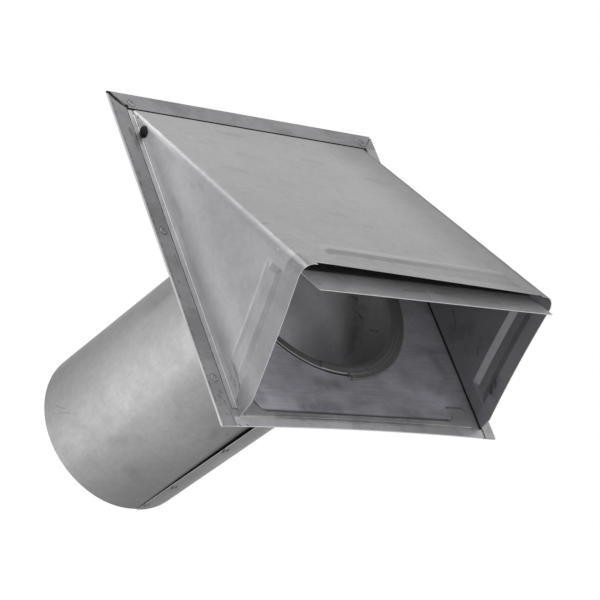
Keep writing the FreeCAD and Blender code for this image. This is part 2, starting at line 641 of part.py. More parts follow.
def make_duct():
    run = V(0, DUCT_END_Y - PITCH_START_Y, DUCT_END_Z)
    pitch = math.degrees(math.atan2(run.z, run.y))
    stub = Part.Face(duct_section(LAP_DEPTH, rim_foot_y(), SHOULDER_RISE)).extrude(V(0, 40, 0))
    start = Part.Face(duct_section(LAP_DEPTH, -30, SHOULDER_RISE))
    stations = [duct_section(LAP_DEPTH, SHOULDER_LENGTH, SHOULDER_RISE),
                duct_section(LAP_DEPTH, SHOULDER_LENGTH + SHOULDER_TAPER),
                duct_section(LAP_OPENING, LAP_OPEN_AT), duct_section(LAP_DEPTH, run.Length)]
    tube = [start.extrude(V(0, 30 + SHOULDER_LENGTH, 0))]
    tube += [Part.makeLoft(stations[k:k + 2], True, True) for k in range(len(stations) - 1)]
    turn_point = V(0, PITCH_START_Y, 0)
    for piece in tube:
        piece.translate(turn_point)
        piece.rotate(turn_point, X_AXIS, pitch)
    behind = Part.makeBox(400, 400, 400, V(-200, PITCH_START_Y, -200))
    before = Part.makeBox(400, 400, 400, V(-200, PITCH_START_Y - 400, -200))
    for half in (behind, before):
        half.rotate(turn_point, X_AXIS, pitch / 2)
    joggle = (LAP_BLEND_START + LAP_BLEND_END) / 2
    rims = [rim(0, RIM_TURN, RIM_RADIUS, 0.0),
            rim(RIM_TURN - RIM_OVERLAP, 360 + joggle, INNER_RIM_RADIUS, 0.0),
            rim(joggle - RIM_OVERLAP, joggle, INNER_RIM_RADIUS, LAP_DEPTH, DUCT_WALL + LAP_DEPTH),
            rim(joggle - RIM_OVERLAP, LAP_ANGLE, INNER_RIM_RADIUS, LAP_DEPTH)]
    return stub.cut(behind).fuse([tube[0].cut(before)] + tube[1:] + rims).removeSplitter()


# Damper

def flap_frame():
    slope = math.radians(FLAP_SLOPE)
    down = V(0, -math.cos(slope), -math.sin(slope))
    back = V(0, math.sin(slope), -math.cos(slope))
    return V(0, HINGE_Y, HINGE_Z), down, back


def make_flap():
    axis, down, back = flap_frame()
    r_in = ROD_RADIUS + CURL_FIT
    r_out = r_in + SHEET
    curl = Part.makeCylinder(r_out, 2 * CURL_HALF_LENGTH, axis - X_AXIS * CURL_HALF_LENGTH, X_AXIS)

    def corner(x, reach, depth):
        return V(x, axis.y, axis.z) + down * reach + back * depth

    def flat(x0, x1, reach0, reach1):
        p = [corner(x0, reach0, r_in), corner(x1, reach0, r_in)]
        p += [corner(x1, reach1, r_in), corner(x0, reach1, r_in)]
        return Part.Face(Part.makePolygon(p + p[:1])).extrude(back * SHEET)

    neck = flat(-CURL_HALF_LENGTH, CURL_HALF_LENGTH, 0, NECK_LENGTH)
    sheet = flat(FLAP_LEFT, FLAP_RIGHT, NECK_LENGTH - 1, FLAP_REACH)
    tips = [e for e in sheet.Edges
            if (e.BoundBox.XLength < 0.01 and e.Length < 1
                and (e.CenterOfMass - axis).dot(down) > FLAP_REACH - 1)]
    sheet = sheet.makeFillet(FLAP_CORNER, tips)
    bore = Part.makeCylinder(r_in, 2 * CURL_HALF_LENGTH + 10,
                             axis - X_AXIS * (CURL_HALF_LENGTH + 5), X_AXIS)
    mouth_a, mouth_b = corner(-200, CURL_GAP, 0), corner(-200, CURL_GAP, r_in - 0.01)
    mouth = Part.makePolygon([mouth_a, mouth_b, mouth_b + down * 10, mouth_a + down * 10, mouth_a])
    slot = Part.Face(mouth).extrude(V(400, 0, 0))
    return curl.cut(slot).fuse([neck, sheet]).cut(bore).removeSplitter()


def make_rod():
    start = V(-ROD_HALF_LENGTH, HINGE_Y, HINGE_Z)
    return Part.makeCylinder(ROD_RADIUS, 2 * ROD_HALF_LENGTH, start, X_AXIS)


def make_bush(side):
    """Bush of one cheek: outer dome, neck through the cheek and inner collar."""
    outer = side * cheek_at_hinge(side)
    seat = outer + BUSH_SEAT
    inside = outer - SHEET - BUSH_SEAT
    rise = BUSH_DOME_HEIGHT
    dome = (rise * rise + BUSH_DOME_RADIUS * BUSH_DOME_RADIUS) / (2 * rise)
    ball = Part.makeSphere(dome, V(seat + rise - dome, 0, 0))
    cap = ball.common(block(seat, seat + 20, -20, 20, -20, 20))
    neck = Part.makeCylinder(BUSH_NECK_RADIUS, seat - inside, V(inside, 0, 0), X_AXIS)
    collar = Part.makeCylinder(BUSH_COLLAR_RADIUS, BUSH_COLLAR_THICKNESS,
                               V(inside - BUSH_COLLAR_THICKNESS, 0, 0), X_AXIS)
    bore = Part.makeCylinder(ROD_RADIUS + ROD_FIT, ROD_HALF_LENGTH + ROD_END_CLEARANCE,
                             V(0, 0, 0), X_AXIS)
    bush = cap.fuse([neck, collar]).removeSplitter().cut(bore)
    if side < 0:
        bush = bush.mirror(V(0, 0, 0), X_AXIS)
    bush.translate(V(0, HINGE_Y, HINGE_Z))
    return bush


def cheek_at_hinge(side):
    """How far out the cheek's outer face is at the hinge."""
    base, front, middle, foot = hood_corners(side, 0.0)
    normal = (middle - base).cross(foot - base)
    hinge = V(0, HINGE_Y, HINGE_Z)
    return base.x + (base - hinge).dot(V(0, normal.y, normal.z)) / normal.x


os.makedirs("parts", exist_ok=True)
nodes = {
    "wall_plate": make_wall_plate(),
    "hood": make_hood(),
    "duct": make_duct(),
    "damper_flap": make_flap(),
    "hinge_rod": make_rod(),
    "hinge_bushes": Part.makeCompound([make_bush(-1), make_bush(1)]),
}
for name, shape in nodes.items():
    shape.exportStep("parts/" + name + ".step")
    box = shape.BoundBox
    print(name, shape.isValid(), len(shape.Solids), round(shape.Volume, 1),
          [round(v, 2) for v in (box.XMin, box.XMax, box.YMin, box.YMax, box.ZMin, box.ZMax)])
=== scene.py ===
"""Looks of a hooded wall vent in folded galvanised sheet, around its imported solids."""

import math
from functools import reduce
from typing import NamedTuple

import bmesh
import bpy
from mathutils import Matrix, Vector


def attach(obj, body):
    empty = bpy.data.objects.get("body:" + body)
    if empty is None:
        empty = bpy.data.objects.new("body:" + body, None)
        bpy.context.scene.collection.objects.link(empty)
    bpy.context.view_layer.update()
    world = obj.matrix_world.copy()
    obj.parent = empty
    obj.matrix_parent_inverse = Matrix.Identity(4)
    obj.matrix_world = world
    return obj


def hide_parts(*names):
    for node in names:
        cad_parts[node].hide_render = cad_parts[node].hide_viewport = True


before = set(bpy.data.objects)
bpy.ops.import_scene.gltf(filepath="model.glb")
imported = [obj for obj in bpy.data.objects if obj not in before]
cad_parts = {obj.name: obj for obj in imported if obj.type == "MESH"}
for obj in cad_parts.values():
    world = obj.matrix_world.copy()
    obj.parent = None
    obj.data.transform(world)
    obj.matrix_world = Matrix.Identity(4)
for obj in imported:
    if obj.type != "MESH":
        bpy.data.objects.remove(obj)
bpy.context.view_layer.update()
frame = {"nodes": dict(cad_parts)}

MM_PER_M = 1000.0
ORIGIN = (0.0, 0.0, 0.0)
EVEN = (1.0, 1.0, 1.0)
WHITE = (1.0, 1.0, 1.0, 1.0)


def link(thing):
    bpy.context.scene.collection.objects.link(thing)
    return thing


# Camera: its place in metres, its turn from the world's axes to its own (x right, y down,
# z forward) as a rotation vector, and its lens and sensor in millimetres
CAMERA_AT = (-1.06048, -0.96180, -0.75866)
CAMERA_TURN = (0.909898, -0.613973, 0.415843)
CAMERA_LENS = 122.96
CAMERA_SENSOR = 36.0
CAMERA_CLIP = (0.05, 50.0)


def add_camera():
    angle = Vector(CAMERA_TURN).length
    turn = Matrix.Rotation(angle, 3, Vector(CAMERA_TURN).normalized())
    right, down, forward = turn[0], turn[1], turn[2]
    data = bpy.data.cameras.new("camera")
    data.sensor_width = CAMERA_SENSOR
    data.lens = CAMERA_LENS
    data.clip_start, data.clip_end = CAMERA_CLIP
    camera = link(bpy.data.objects.new("camera", data))
    columns = Matrix((right, -down, -forward)).transposed()
    camera.matrix_world = Matrix.Translation(CAMERA_AT) @ columns.to_4x4()
    bpy.context.scene.camera = camera


# Light and floor, in metres; each lamp has its place, diameter and power in watts
FLOOR_Z = -1.05
FLOOR_HALF = 4.0
FLOOR_COLOUR = (0.86, 0.86, 0.85, 1.0)
FLOOR_ROUGHNESS = 0.8
SOFT_LIGHT = 0.8
SOFT_COLOUR = (0.99, 0.985, 1.0, 1.0)
LAMP_TARGET = (0.0, 0.05, 0.0)
LAMPS = {
    "left_behind": ((-1.25, 1.25, 0.15), 1.3, 4.0),
    "top_left": ((-0.6, -0.6, 1.5), 0.5, 3.5),
    "left_front": ((-1.0, -1.1, 0.85), 0.5, 3.5),
}


def add_lamp(name, at, size, power):
    data = bpy.data.lights.new(name, "AREA")
    data.shape = "DISK"
    data.size = size
    data.energy = power
    lamp = link(bpy.data.objects.new(name, data))
    lamp.location = at
    lamp.rotation_mode = "QUATERNION"
    lamp.rotation_quaternion = (Vector(LAMP_TARGET) - Vector(at)).to_track_quat("-Z", "Y")
    lamp.visible_camera = False


def add_world():
    """White where the camera, a reflection or glass sees it, and soft light elsewhere."""
    world = bpy.data.worlds.new("studio")
    bpy.context.scene.world = world
    world.use_nodes = True
    nodes, links = world.node_tree.nodes, world.node_tree.links
    nodes.clear()

    def background(colour, strength):
        node = nodes.new("ShaderNodeBackground")
        node.inputs["Color"].default_value = colour
        node.inputs["Strength"].default_value = strength
        return node.outputs[0]

    path = nodes.new("ShaderNodeLightPath")
    seen = path.outputs["Is Camera Ray"]
    for kind in ("Is Glossy Ray", "Is Transmission Ray"):
        either = nodes.new("ShaderNodeMath")
        either.operation = "MAXIMUM"
        links.new(seen, either.inputs[0])
        links.new(path.outputs[kind], either.inputs[1])
        seen = either.outputs[0]
    mix = nodes.new("ShaderNodeMixShader")
    out = nodes.new("ShaderNodeOutputWorld")
    links.new(seen, mix.inputs[0])
    links.new(background(SOFT_COLOUR, SOFT_LIGHT), mix.inputs[1])
    links.new(background(WHITE, 1.0), mix.inputs[2])
    links.new(mix.outputs[0], out.inputs[0])


def add_floor():
    mesh = bpy.data.meshes.new("floor")
    corners = [(x * FLOOR_HALF, y * FLOOR_HALF, FLOOR_Z)
               for x, y in ((-1, -1), (1, -1), (1, 1), (-1, 1))]
    mesh.from_pydata(corners, [], [(0, 1, 2, 3)])
    floor = link(bpy.data.objects.new("floor", mesh))
    material = bpy.data.materials.new("floor")
    material.use_nodes = True
    shader = material.node_tree.nodes["Principled BSDF"]
    shader.inputs["Base Color"].default_value = FLOOR_COLOUR
    shader.inputs["Roughness"].default_value = FLOOR_ROUGHNESS
    mesh.materials.append(material)


# Material steps
class Layer(NamedTuple):
    """Noise with features of about 1 / scale mm, eased from start and end to low and high."""

    scale: float
    detail: float
    rough: float
    start: float
    end: float
    low: float = 0.0
    high: float = 1.0
    stretch: tuple = EVEN
    warp: float = 0.0
    shift: float = 0.0


def stroke_group():
    """Node group: 1 along a short line between two points, falling to 0 at its radius."""
    group = bpy.data.node_groups.new("stroke", "ShaderNodeTree")
    face = group.interface
    for name in ("Place", "From", "To"):
        face.new_socket(name, in_out="INPUT", socket_type="NodeSocketVector")
    face.new_socket("Radius", in_out="INPUT", socket_type="NodeSocketFloat")
    face.new_socket("Mask", in_out="OUTPUT", socket_type="NodeSocketFloat")
    start = group.nodes.new("NodeGroupInput")
    end = group.nodes.new("NodeGroupOutput")

    def vector(operation, a, b):
        node = group.nodes.new("ShaderNodeVectorMath")
        node.operation = operation
        group.links.new(a, node.inputs[0])
        group.links.new(b, node.inputs["Scale"] if operation == "SCALE" else node.inputs[1])
        return node.outputs["Value"] if operation == "DOT_PRODUCT" else node.outputs["Vector"]

    along = vector("SUBTRACT", start.outputs["To"], start.outputs["From"])
    offset = vector("SUBTRACT", start.outputs["Place"], start.outputs["From"])
    share = group.nodes.new("ShaderNodeMath")
    share.operation = "DIVIDE"
    share.use_clamp = True
    group.links.new(vector("DOT_PRODUCT", offset, along), share.inputs[0])
    group.links.new(vector("DOT_PRODUCT", along, along), share.inputs[1])
    gap = vector("SUBTRACT", offset, vector("SCALE", along, share.outputs[0]))
    length = group.nodes.new("ShaderNodeVectorMath")
    length.operation = "LENGTH"
    group.links.new(gap, length.inputs[0])
    fade = group.nodes.new("ShaderNodeMapRange")
    fade.interpolation_type = "SMOOTHSTEP"
    fade.inputs["From Min"].default_value = 0.0
    fade.inputs["To Min"].default_value = 1.0
    fade.inputs["To Max"].default_value = 0.0
    group.links.new(length.outputs["Value"], fade.inputs["Value"])
    group.links.new(start.outputs["Radius"], fade.inputs["From Max"])
    group.links.new(fade.outputs["Result"], end.inputs["Mask"])
    return group


STROKE = stroke_group()
PLATE_PLANE = (1.0, 0.0, 1.0)
SHIFT_WAY = (1.0, 0.7, -1.0)


class Net:
    """Builds one material's nodes from small steps, in the object's own millimetres."""

    def __init__(self, name):
        self.material = bpy.data.materials.new(name)
        self.material.use_nodes = True
        self.tree = self.material.node_tree
        self.shader = self.tree.nodes["Principled BSDF"]
        coords = self.new("ShaderNodeTexCoord")
        self.place = self.vector("SCALE", coords.outputs["Object"], MM_PER_M)
        self.normal = coords.outputs["Normal"]
        self.x, self.y, self.z = self.split(self.place)
        self.look_x, self.look_y, _ = self.split(self.normal)

    def new(self, kind, **settings):
        node = self.tree.nodes.new(kind)
        for name, value in settings.items():
            setattr(node, name, value)
        return node

    def put(self, socket, value):
        if isinstance(value, bpy.types.NodeSocket):
            self.tree.links.new(value, socket)
        else:
            socket.default_value = value

    def split(self, value):
        node = self.new("ShaderNodeSeparateXYZ")
        self.put(node.inputs[0], value)
        return node.outputs

    def vector(self, operation, a, b=ORIGIN):
        node = self.new("ShaderNodeVectorMath", operation=operation)
        self.put(node.inputs[0], a)
        self.put(node.inputs["Scale"] if operation == "SCALE" else node.inputs[1], b)
        single = operation in ("DOT_PRODUCT", "LENGTH")
        return node.outputs["Value" if single else "Vector"]

    def math(self, operation, a, b):
        node = self.new("ShaderNodeMath", operation=operation)
        self.put(node.inputs[0], a)
        self.put(node.inputs[1], b)
        return node.outputs[0]

    def times(self, *values):
        """All values multiplied together."""
        return reduce(lambda a, b: self.math("MULTIPLY", a, b), values)

    def most(self, *values):
        """The largest of the values."""
        return reduce(lambda a, b: self.math("MAXIMUM", a, b), values)

    def ease(self, value, start, end, low=0.0, high=1.0):
        """Runs smoothly from low at start to high at end."""
        node = self.new("ShaderNodeMapRange", interpolation_type="SMOOTHSTEP")
        if start > end:
            start, end, low, high = end, start, high, low
        for name, number in (("From Min", start), ("From Max", end),
                             ("To Min", low), ("To Max", high)):
            node.inputs[name].default_value = number
        self.put(node.inputs["Value"], value)
        return node.outputs["Result"]

    def within(self, value, low, high, soft, most=1.0):
        """The most where a value lies between two soft limits, and 0 elsewhere."""
        rise = self.ease(value, low - soft, low + soft, 0.0, most)
        return self.times(rise, self.ease(value, high - soft, high + soft, 1.0, 0.0))

    def blend(self, share, a, b):
        node = self.new("ShaderNodeMix", data_type="FLOAT")
        self.put(node.inputs[0], share)
        self.put(node.inputs[2], a)
        self.put(node.inputs[3], b)
        return node.outputs[0]

    def shade(self, tone, *steps):
        """Scales the tone by each step's factor where that step's mask is 1."""
        for mask, factor in steps:
            tone = self.times(tone, self.blend(mask, 1.0, factor))
        return tone

    def noise(self, layer, stretch=None):
        spot = self.vector("MULTIPLY", self.place,
                           tuple(layer.scale * s for s in stretch or layer.stretch))
        if layer.shift:
            spot = self.vector("ADD", spot, tuple(layer.shift * s for s in SHIFT_WAY))
        node = self.new("ShaderNodeTexNoise")
        node.inputs["Scale"].default_value = 1.0
        node.inputs["Detail"].default_value = layer.detail
        node.inputs["Roughness"].default_value = layer.rough
        node.inputs["Distortion"].default_value = layer.warp
        self.put(node.inputs["Vector"], spot)
        return self.ease(node.outputs["Fac"], layer.start, layer.end, layer.low, layer.high)

    def strokes(self, marks):
        """The strength of each mark on its own line, fading to 0 at its radius."""
        masks = []
        for start, end, radius, strength in marks:
            node = self.new("ShaderNodeGroup", node_tree=STROKE)
            self.put(node.inputs["Place"], self.place)
            for name, point in (("From", start), ("To", end)):
                node.inputs[name].default_value = point
            node.inputs["Radius"].default_value = radius
            masks.append(self.times(node.outputs["Mask"], strength))
        return self.most(*masks)

    def facing(self, way, near=0.985, full=0.997):
        """1 where the surface looks in a direction, in the object's own axes."""
        unit = tuple(Vector(way).normalized())
        return self.ease(self.vector("DOT_PRODUCT", self.normal, unit), near, full)

    def across(self, x=0.0, z=0.0):
        """Offset from a point of the plate's plane, within that plane."""
        offset = self.vector("SUBTRACT", self.place, (x, 0.0, z))
        return self.vector("MULTIPLY", offset, PLATE_PLANE)


# Galvanised sheet: its zinc coat, tints and dirt, with painted highlights on cut edges and painted
# shadow in gaps
TONE = 0.41
TINT = (0.985, 0.978, 1.0)
HOOD_TINT = (0.992, 0.985, 0.986)
PLATE_TINT = (0.977, 0.974, 1.0)
DUCT_TINT = (0.99, 0.985, 0.983)
INNER_TINT = (0.935, 0.93, 1.0)
METALLIC = 0.55
ROUGHNESS = 0.38
GRAZING = (0.5, 0.5, 0.5, 1.0)
SHINE = 0.3
SCRATCH_AND_HIGHLIGHT = 0.8
DIRT_AND_SHADOW = 0.02
EDGE_ROUNDING = 0.0003
EDGE_SAMPLES = 4
BUMP_STRENGTH = 0.35
BUMP_DISTANCE = 0.00008
MOTTLE_HEIGHT = 6.0
GRAIN_HEIGHT = 5.0

# Scale of the noise along x, y and z, where less than 1 draws it out: the grain by the rolls,
# and the smudges by handling
ROLLED_ACROSS = (0.05, 1.0, 1.0)
ROLLED_ALONG = (1.0, 0.06, 1.0)
PLATE_HANDLED = (0.5, 1.0, 1.0)
HOOD_HANDLED = (0.45, 1.0, 1.0)
DUCT_HANDLED = (1.0, 0.6, 1.0)

CLOUD = Layer(0.011, 3.0, 0.5, 0.3, 0.72, 0.975, 1.025)
HANDLED = Layer(0.03, 5.0, 0.62, 0.30, 0.62, 0.965, 1.01, warp=0.4, shift=7.0)
MOTTLE = Layer(0.16, 6.0, 0.75, 0.3, 0.7, 0.94, 1.05)
GRAIN = Layer(0.9, 3.0, 0.6, 0.25, 0.75, 0.955, 1.045)
SPECK = Layer(0.45, 2.0, 0.5, 0.70, 0.76, 1.0, 0.82, shift=3.0)
WORN = Layer(0.12, 4.0, 0.6, 0.25, 0.6, 0.35, 1.0, shift=11.0)
BROKEN = Layer(0.9, 3.0, 0.6, 0.35, 0.5, 0.25, 1.0, shift=5.0)
SHEEN = Layer(0.045, 4.0, 0.6, 0.3, 0.7, ROUGHNESS - 0.05, ROUGHNESS + 0.08, shift=2.0)


def galvanised(name, roll=EVEN, handled=EVEN, smudges_and_shadow=(), dark=(), light=(), edges=None,
               gaps=None, tones=None, rounding=EDGE_ROUNDING, tint=TINT, side=None, inner=None):
    """Dull zinc coat: clouds, rolling grain, smudges, specks, scratches, painted light and shade,
    painted highlights on cut edges and painted shadow in gaps.
    """
    net = Net(name)
    mottle, grain = net.noise(MOTTLE), net.noise(GRAIN, roll)
    tone = net.times(net.noise(CLOUD), net.noise(HANDLED, handled), mottle, grain,
                     net.noise(SPECK))
    shown = side(net) if side else 1.0
    if smudges_and_shadow:
        tone = net.shade(tone, (net.times(net.strokes(smudges_and_shadow), net.noise(WORN), shown), 0.0))
    tone = net.times(tone, TONE)
    # Tones: painted light and shade, with the plate's roll lines, stains and clouds and the flap's
    # hatch
    if tones:
        tone = tones(net, tone)
    if dark:
        tone = net.blend(net.times(net.strokes(dark), net.noise(BROKEN), shown), tone, DIRT_AND_SHADOW)
    # Light marks: bright scratches, and a painted highlight at the duct's rim
    if light:
        tone = net.blend(net.times(net.strokes(light), shown), tone, SCRATCH_AND_HIGHLIGHT)
    # Edges: painted highlights on cut edges and folds
    if edges:
        tone = net.blend(edges(net), tone, SCRATCH_AND_HIGHLIGHT)
    metallic, shine = METALLIC, SHINE
    # Gaps: painted shadow, black and without shine, and on the plate also dirt specks
    if gaps:
        hole = net.times(gaps(net), shown)
        tone = net.blend(hole, tone, DIRT_AND_SHADOW)
        metallic, shine = net.blend(hole, METALLIC, 0.0), net.blend(hole, SHINE, 0.0)
    colour = net.vector("SCALE", tint, tone)
    if inner:
        covered = inner(net)
        cast = net.new("ShaderNodeCombineXYZ")
        for socket, number in zip(cast.inputs, INNER_TINT):
            net.put(socket, net.blend(covered, 1.0, number))
        colour = net.vector("MULTIPLY", colour, cast.outputs[0])
    bump = net.new("ShaderNodeBump")
    bump.inputs["Strength"].default_value = BUMP_STRENGTH
    bump.inputs["Distance"].default_value = BUMP_DISTANCE
    height = net.math("ADD", net.times(mottle, MOTTLE_HEIGHT), net.times(grain, GRAIN_HEIGHT))
    net.put(bump.inputs["Height"], height)
    if rounding:
        bevel = net.new("ShaderNodeBevel", samples=EDGE_SAMPLES)
        bevel.inputs["Radius"].default_value = rounding
        net.put(bump.inputs["Normal"], bevel.outputs["Normal"])
    for socket, value in (("Base Color", colour), ("Metallic", metallic),
                          ("Specular IOR Level", shine), ("Specular Tint", GRAZING),
                          ("Roughness", net.noise(SHEEN)), ("Normal", bump.outputs["Normal"])):
        net.put(net.shader.inputs[socket], value)
    return net.material


# Hood with gently curved cheeks and soft bead edges. The top panel starts at the wall, and the
# crease between each cheek's two flats at their hinge, whose y and z are given, both in mm
def sloping(degrees):
    """Ways down a sheet of this slope and square into it."""
    turn = math.radians(degrees)
    return (0.0, -math.cos(turn), -math.sin(turn)), (0.0, math.sin(turn), -math.cos(turn))


DOWN_PANEL, INTO_PANEL = sloping(63.3)
PANEL_START = (0.0, -1.3, 153.5)
HINGE_OF_FLATS = (-0.7, 153.5)
CREASE_ALONG = (-0.2287, -0.9735)
CREASE_ACROSS = (-0.9735, 0.2287)
CREASE_CUTS = 6
CHEEK_SPREAD = 0.18
CHEEK_TURN = {-1: 0.037, 1: 0.068}
TOP_BEAD_ALONG = (220.0, 249.0)
TOP_BEAD_DEPTH = 4.0
CHEEK_BEAD_ALONG = (219.0, 247.0)
CHEEK_BEAD_DEPTH = 12.0
BEAD_STEPS = 3
FLAT_WEIGHT = 80

# Where the cheeks and beads begin, the softness of the beads' edges and the mesh's own
# tolerances, in metres
CHEEK_FROM_X = 0.118
CHEEK_FROM_Y = -0.0026
TOP_BEAD_HALF = 0.112
CHEEK_BEAD_Y = -0.011
BEAD_SOFTNESS = 0.0011
CUT_TOLERANCE = 1e-7
MERGE_DISTANCE = 2e-6

# Turns between faces, in degrees: flat below the first, and creased above the last
FLAT_TURN = 0.3
SOFT_TURN = 4.0
SHARP_TURN = 32.0


def crease_place(point):
    """Distance along the crease between a cheek's flats, and to the front of it, in mm."""
    y = point.y * MM_PER_M - HINGE_OF_FLATS[0]
    z = point.z * MM_PER_M - HINGE_OF_FLATS[1]
    return (y * CREASE_ALONG[0] + z * CREASE_ALONG[1],
            y * CREASE_ACROSS[0] + z * CREASE_ACROSS[1])


def curve_cheeks(work):
    """Turns the crease between each cheek's two flats into a gentle curve."""
    for step in range(-CREASE_CUTS, CREASE_CUTS + 1):
        slope = CHEEK_SPREAD * step / CREASE_CUTS
        across = Vector((0.0, CREASE_ACROSS[0] - slope * CREASE_ALONG[0],
                         CREASE_ACROSS[1] - slope * CREASE_ALONG[1]))
        bmesh.ops.bisect_plane(work, geom=work.verts[:] + work.edges[:] + work.faces[:],
                               dist=CUT_TOLERANCE, plane_no=across,
                               plane_co=Vector((0.0, *HINGE_OF_FLATS)) / MM_PER_M)
    for vert in work.verts:
        along, out = crease_place(vert.co)
        width = CHEEK_SPREAD * along
        if abs(vert.co.x) < CHEEK_FROM_X or vert.co.y > CHEEK_FROM_Y or abs(out) >= width:
            continue
        side = 1 if vert.co.x > 0 else -1
        shift = CHEEK_TURN[side] * (width - abs(out)) ** 2 / (2 * width)
        vert.co.x += side * shift / MM_PER_M


def on_bead(point):
    """Whether a point lies on one of the hood's three beads."""
    offset = Vector((0.0, point.y * MM_PER_M - PANEL_START[1],
                     point.z * MM_PER_M - PANEL_START[2]))
    along, depth = offset.dot(Vector(DOWN_PANEL)), offset.dot(Vector(INTO_PANEL))
    if abs(point.x) < TOP_BEAD_HALF:
        return TOP_BEAD_ALONG[0] < along < TOP_BEAD_ALONG[1] and depth < TOP_BEAD_DEPTH
    on_cheek = depth > CHEEK_BEAD_DEPTH and point.y < CHEEK_BEAD_Y
    return CHEEK_BEAD_ALONG[0] < along < CHEEK_BEAD_ALONG[1] and on_cheek


def make_hood_sheet():
    """The hood's own sheet, with true flat faces between its folds."""
    mesh = frame["nodes"]["hood"].data.copy()
    mesh.name = "hood_sheet"
    mesh.attributes.remove(mesh.attributes["custom_normal"])
    work = bmesh.new()
    work.from_mesh(mesh)
    bmesh.ops.remove_doubles(work, verts=work.verts, dist=MERGE_DISTANCE)
    bmesh.ops.dissolve_limit(work, angle_limit=math.radians(FLAT_TURN),
                             verts=work.verts, edges=work.edges)
    weight = work.edges.layers.float.new("bevel_weight_edge")
    for edge in work.edges:
        if len(edge.link_faces) != 2:
            continue
        turn = math.degrees(edge.calc_face_angle())
        edge.smooth = turn < SHARP_TURN
        if SOFT_TURN < turn < SHARP_TURN and all(on_bead(vert.co) for vert in edge.verts):
            edge[weight] = 1.0
    curve_cheeks(work)
    for face in work.faces:
        face.smooth = True
    work.to_mesh(mesh)
    work.free()
    sheet = link(bpy.data.objects.new("hood_sheet", mesh))
    bevel = sheet.modifiers.new("bead_edges", "BEVEL")
    bevel.limit_method = "WEIGHT"
    bevel.width = BEAD_SOFTNESS
    bevel.segments = BEAD_STEPS
    bevel.use_clamp_overlap = True
    weighted = sheet.modifiers.new("flat_faces", "WEIGHTED_NORMAL")
    weighted.keep_sharp = True
    weighted.weight = FLAT_WEIGHT
    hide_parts("hood")
    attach(sheet, "housing")
    return sheet


# Glossy bushes with rounded caps, in millimetres. Each seats on its cheek's outside
BUSH_AT = (-6.3, 126.7)
CAP_SEAT = 124.75
CAP_RADIUS = 5.0
CAP_HEIGHT = 3.0
CAP_RIM = 0.2
CAP_RINGS = 10
CAP_SIDES = 48
NECK_RADIUS = 3.3
COLLAR_RADIUS = 3.9
COLLAR_HOLE = 3.0
COLLAR_BACK = -2.4
COLLAR_FRONT = -1.2


def bush_rings():
    """Distance out from the cheek and radius of each ring, from the collar to the cap's tip."""
    rings = [(COLLAR_BACK, COLLAR_HOLE), (COLLAR_BACK, COLLAR_RADIUS),
             (COLLAR_FRONT, COLLAR_RADIUS), (COLLAR_FRONT, NECK_RADIUS), (0.0, NECK_RADIUS),
             (0.0, CAP_RADIUS - CAP_RIM), (CAP_RIM, CAP_RADIUS)]
    for step in range(1, CAP_RINGS + 1):
        turn = math.pi / 2 * step / CAP_RINGS
        rings.append((CAP_RIM + (CAP_HEIGHT - CAP_RIM) * math.sin(turn),
                      CAP_RADIUS * math.cos(turn)))
    return rings


def make_bush_caps():
    """Both bushes: a domed cap outside each cheek and a low collar inside it."""
    verts, faces = [], []
    rings = bush_rings()
    for side in (-1, 1):
        start = len(verts)
        for out, radius in rings[:-1]:
            for k in range(CAP_SIDES):
                turn = 2 * math.pi * k / CAP_SIDES
                verts.append((side * (CAP_SEAT + out), BUSH_AT[0] + radius * math.cos(turn),
                              BUSH_AT[1] + radius * math.sin(turn)))
        tip = len(verts)
        verts.append((side * (CAP_SEAT + rings[-1][0]), *BUSH_AT))
        for row in range(len(rings) - 2):
            for k in range(CAP_SIDES):
                a = start + row * CAP_SIDES + k
                b = start + row * CAP_SIDES + (k + 1) % CAP_SIDES
                quad = (a, b, b + CAP_SIDES, a + CAP_SIDES)
                faces.append(quad if side < 0 else quad[::-1])
        last = start + (len(rings) - 2) * CAP_SIDES
        for k in range(CAP_SIDES):
            tri = (last + k, last + (k + 1) % CAP_SIDES, tip)
            faces.append(tri if side < 0 else tri[::-1])
    mesh = bpy.data.meshes.new("bush_caps")
    mesh.from_pydata([tuple(c / MM_PER_M for c in v) for v in verts], [], faces)
    mesh.polygons.foreach_set("use_smooth", [True] * len(mesh.polygons))
    caps = link(bpy.data.objects.new("bush_caps", mesh))
    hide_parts("hinge_bushes")
    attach(caps, "housing")
    return caps


# Marks seen on each piece, in millimetres: from, to, radius, strength. Smudges dull the coat,
# dark marks are dirt, and light marks are bright scratches, apart from the marks noted in a list
HOOD_SMUDGES = [
    ((-48, -10, 135), (-28, -10, 136), 7, 0.14),
    ((-86, -24, 110), (-72, -23, 112), 6, 0.10),
    ((-60, -30, 97), (-35, -31, 95), 7, 0.12),
    ((-95, -45, 68), (-75, -46, 66), 7, 0.10),
    ((20, -23, 109), (35, -24, 108), 5, 0.10),
    ((70, -14, 127), (88, -15, 126), 5, 0.10),
    ((75, -33, 89), (98, -34, 87), 8, 0.12),
    ((-32, -72, 13), (-20, -73, 12), 5, 0.10),
    ((-5, -78, 0), (10, -79, -1), 5, 0.10),
    ((-126, -37, 52), (-126, -38, 49), 4, 0.14),
    ((-127, -46, 46), (-127, -47, 42), 4, 0.12),
    ((-125, -12, 58), (-125, -14, 40), 5, 0.16),
    ((-126, -22, 95), (-126, -27, 84), 5, 0.10),
    ((-125, -4, 0), (-125, -9, -32), 9, 0.12),
    ((-125, -4, -60), (-125, -14, -76), 8, 0.10),
    ((124, -14, -45), (124, -28, -52), 14, 0.25),
    ((125, -27, -109), (125, -34, -103), 9, 0.35),
    ((125, -20, -63), (125, -44, -70), 12, 0.15),
]
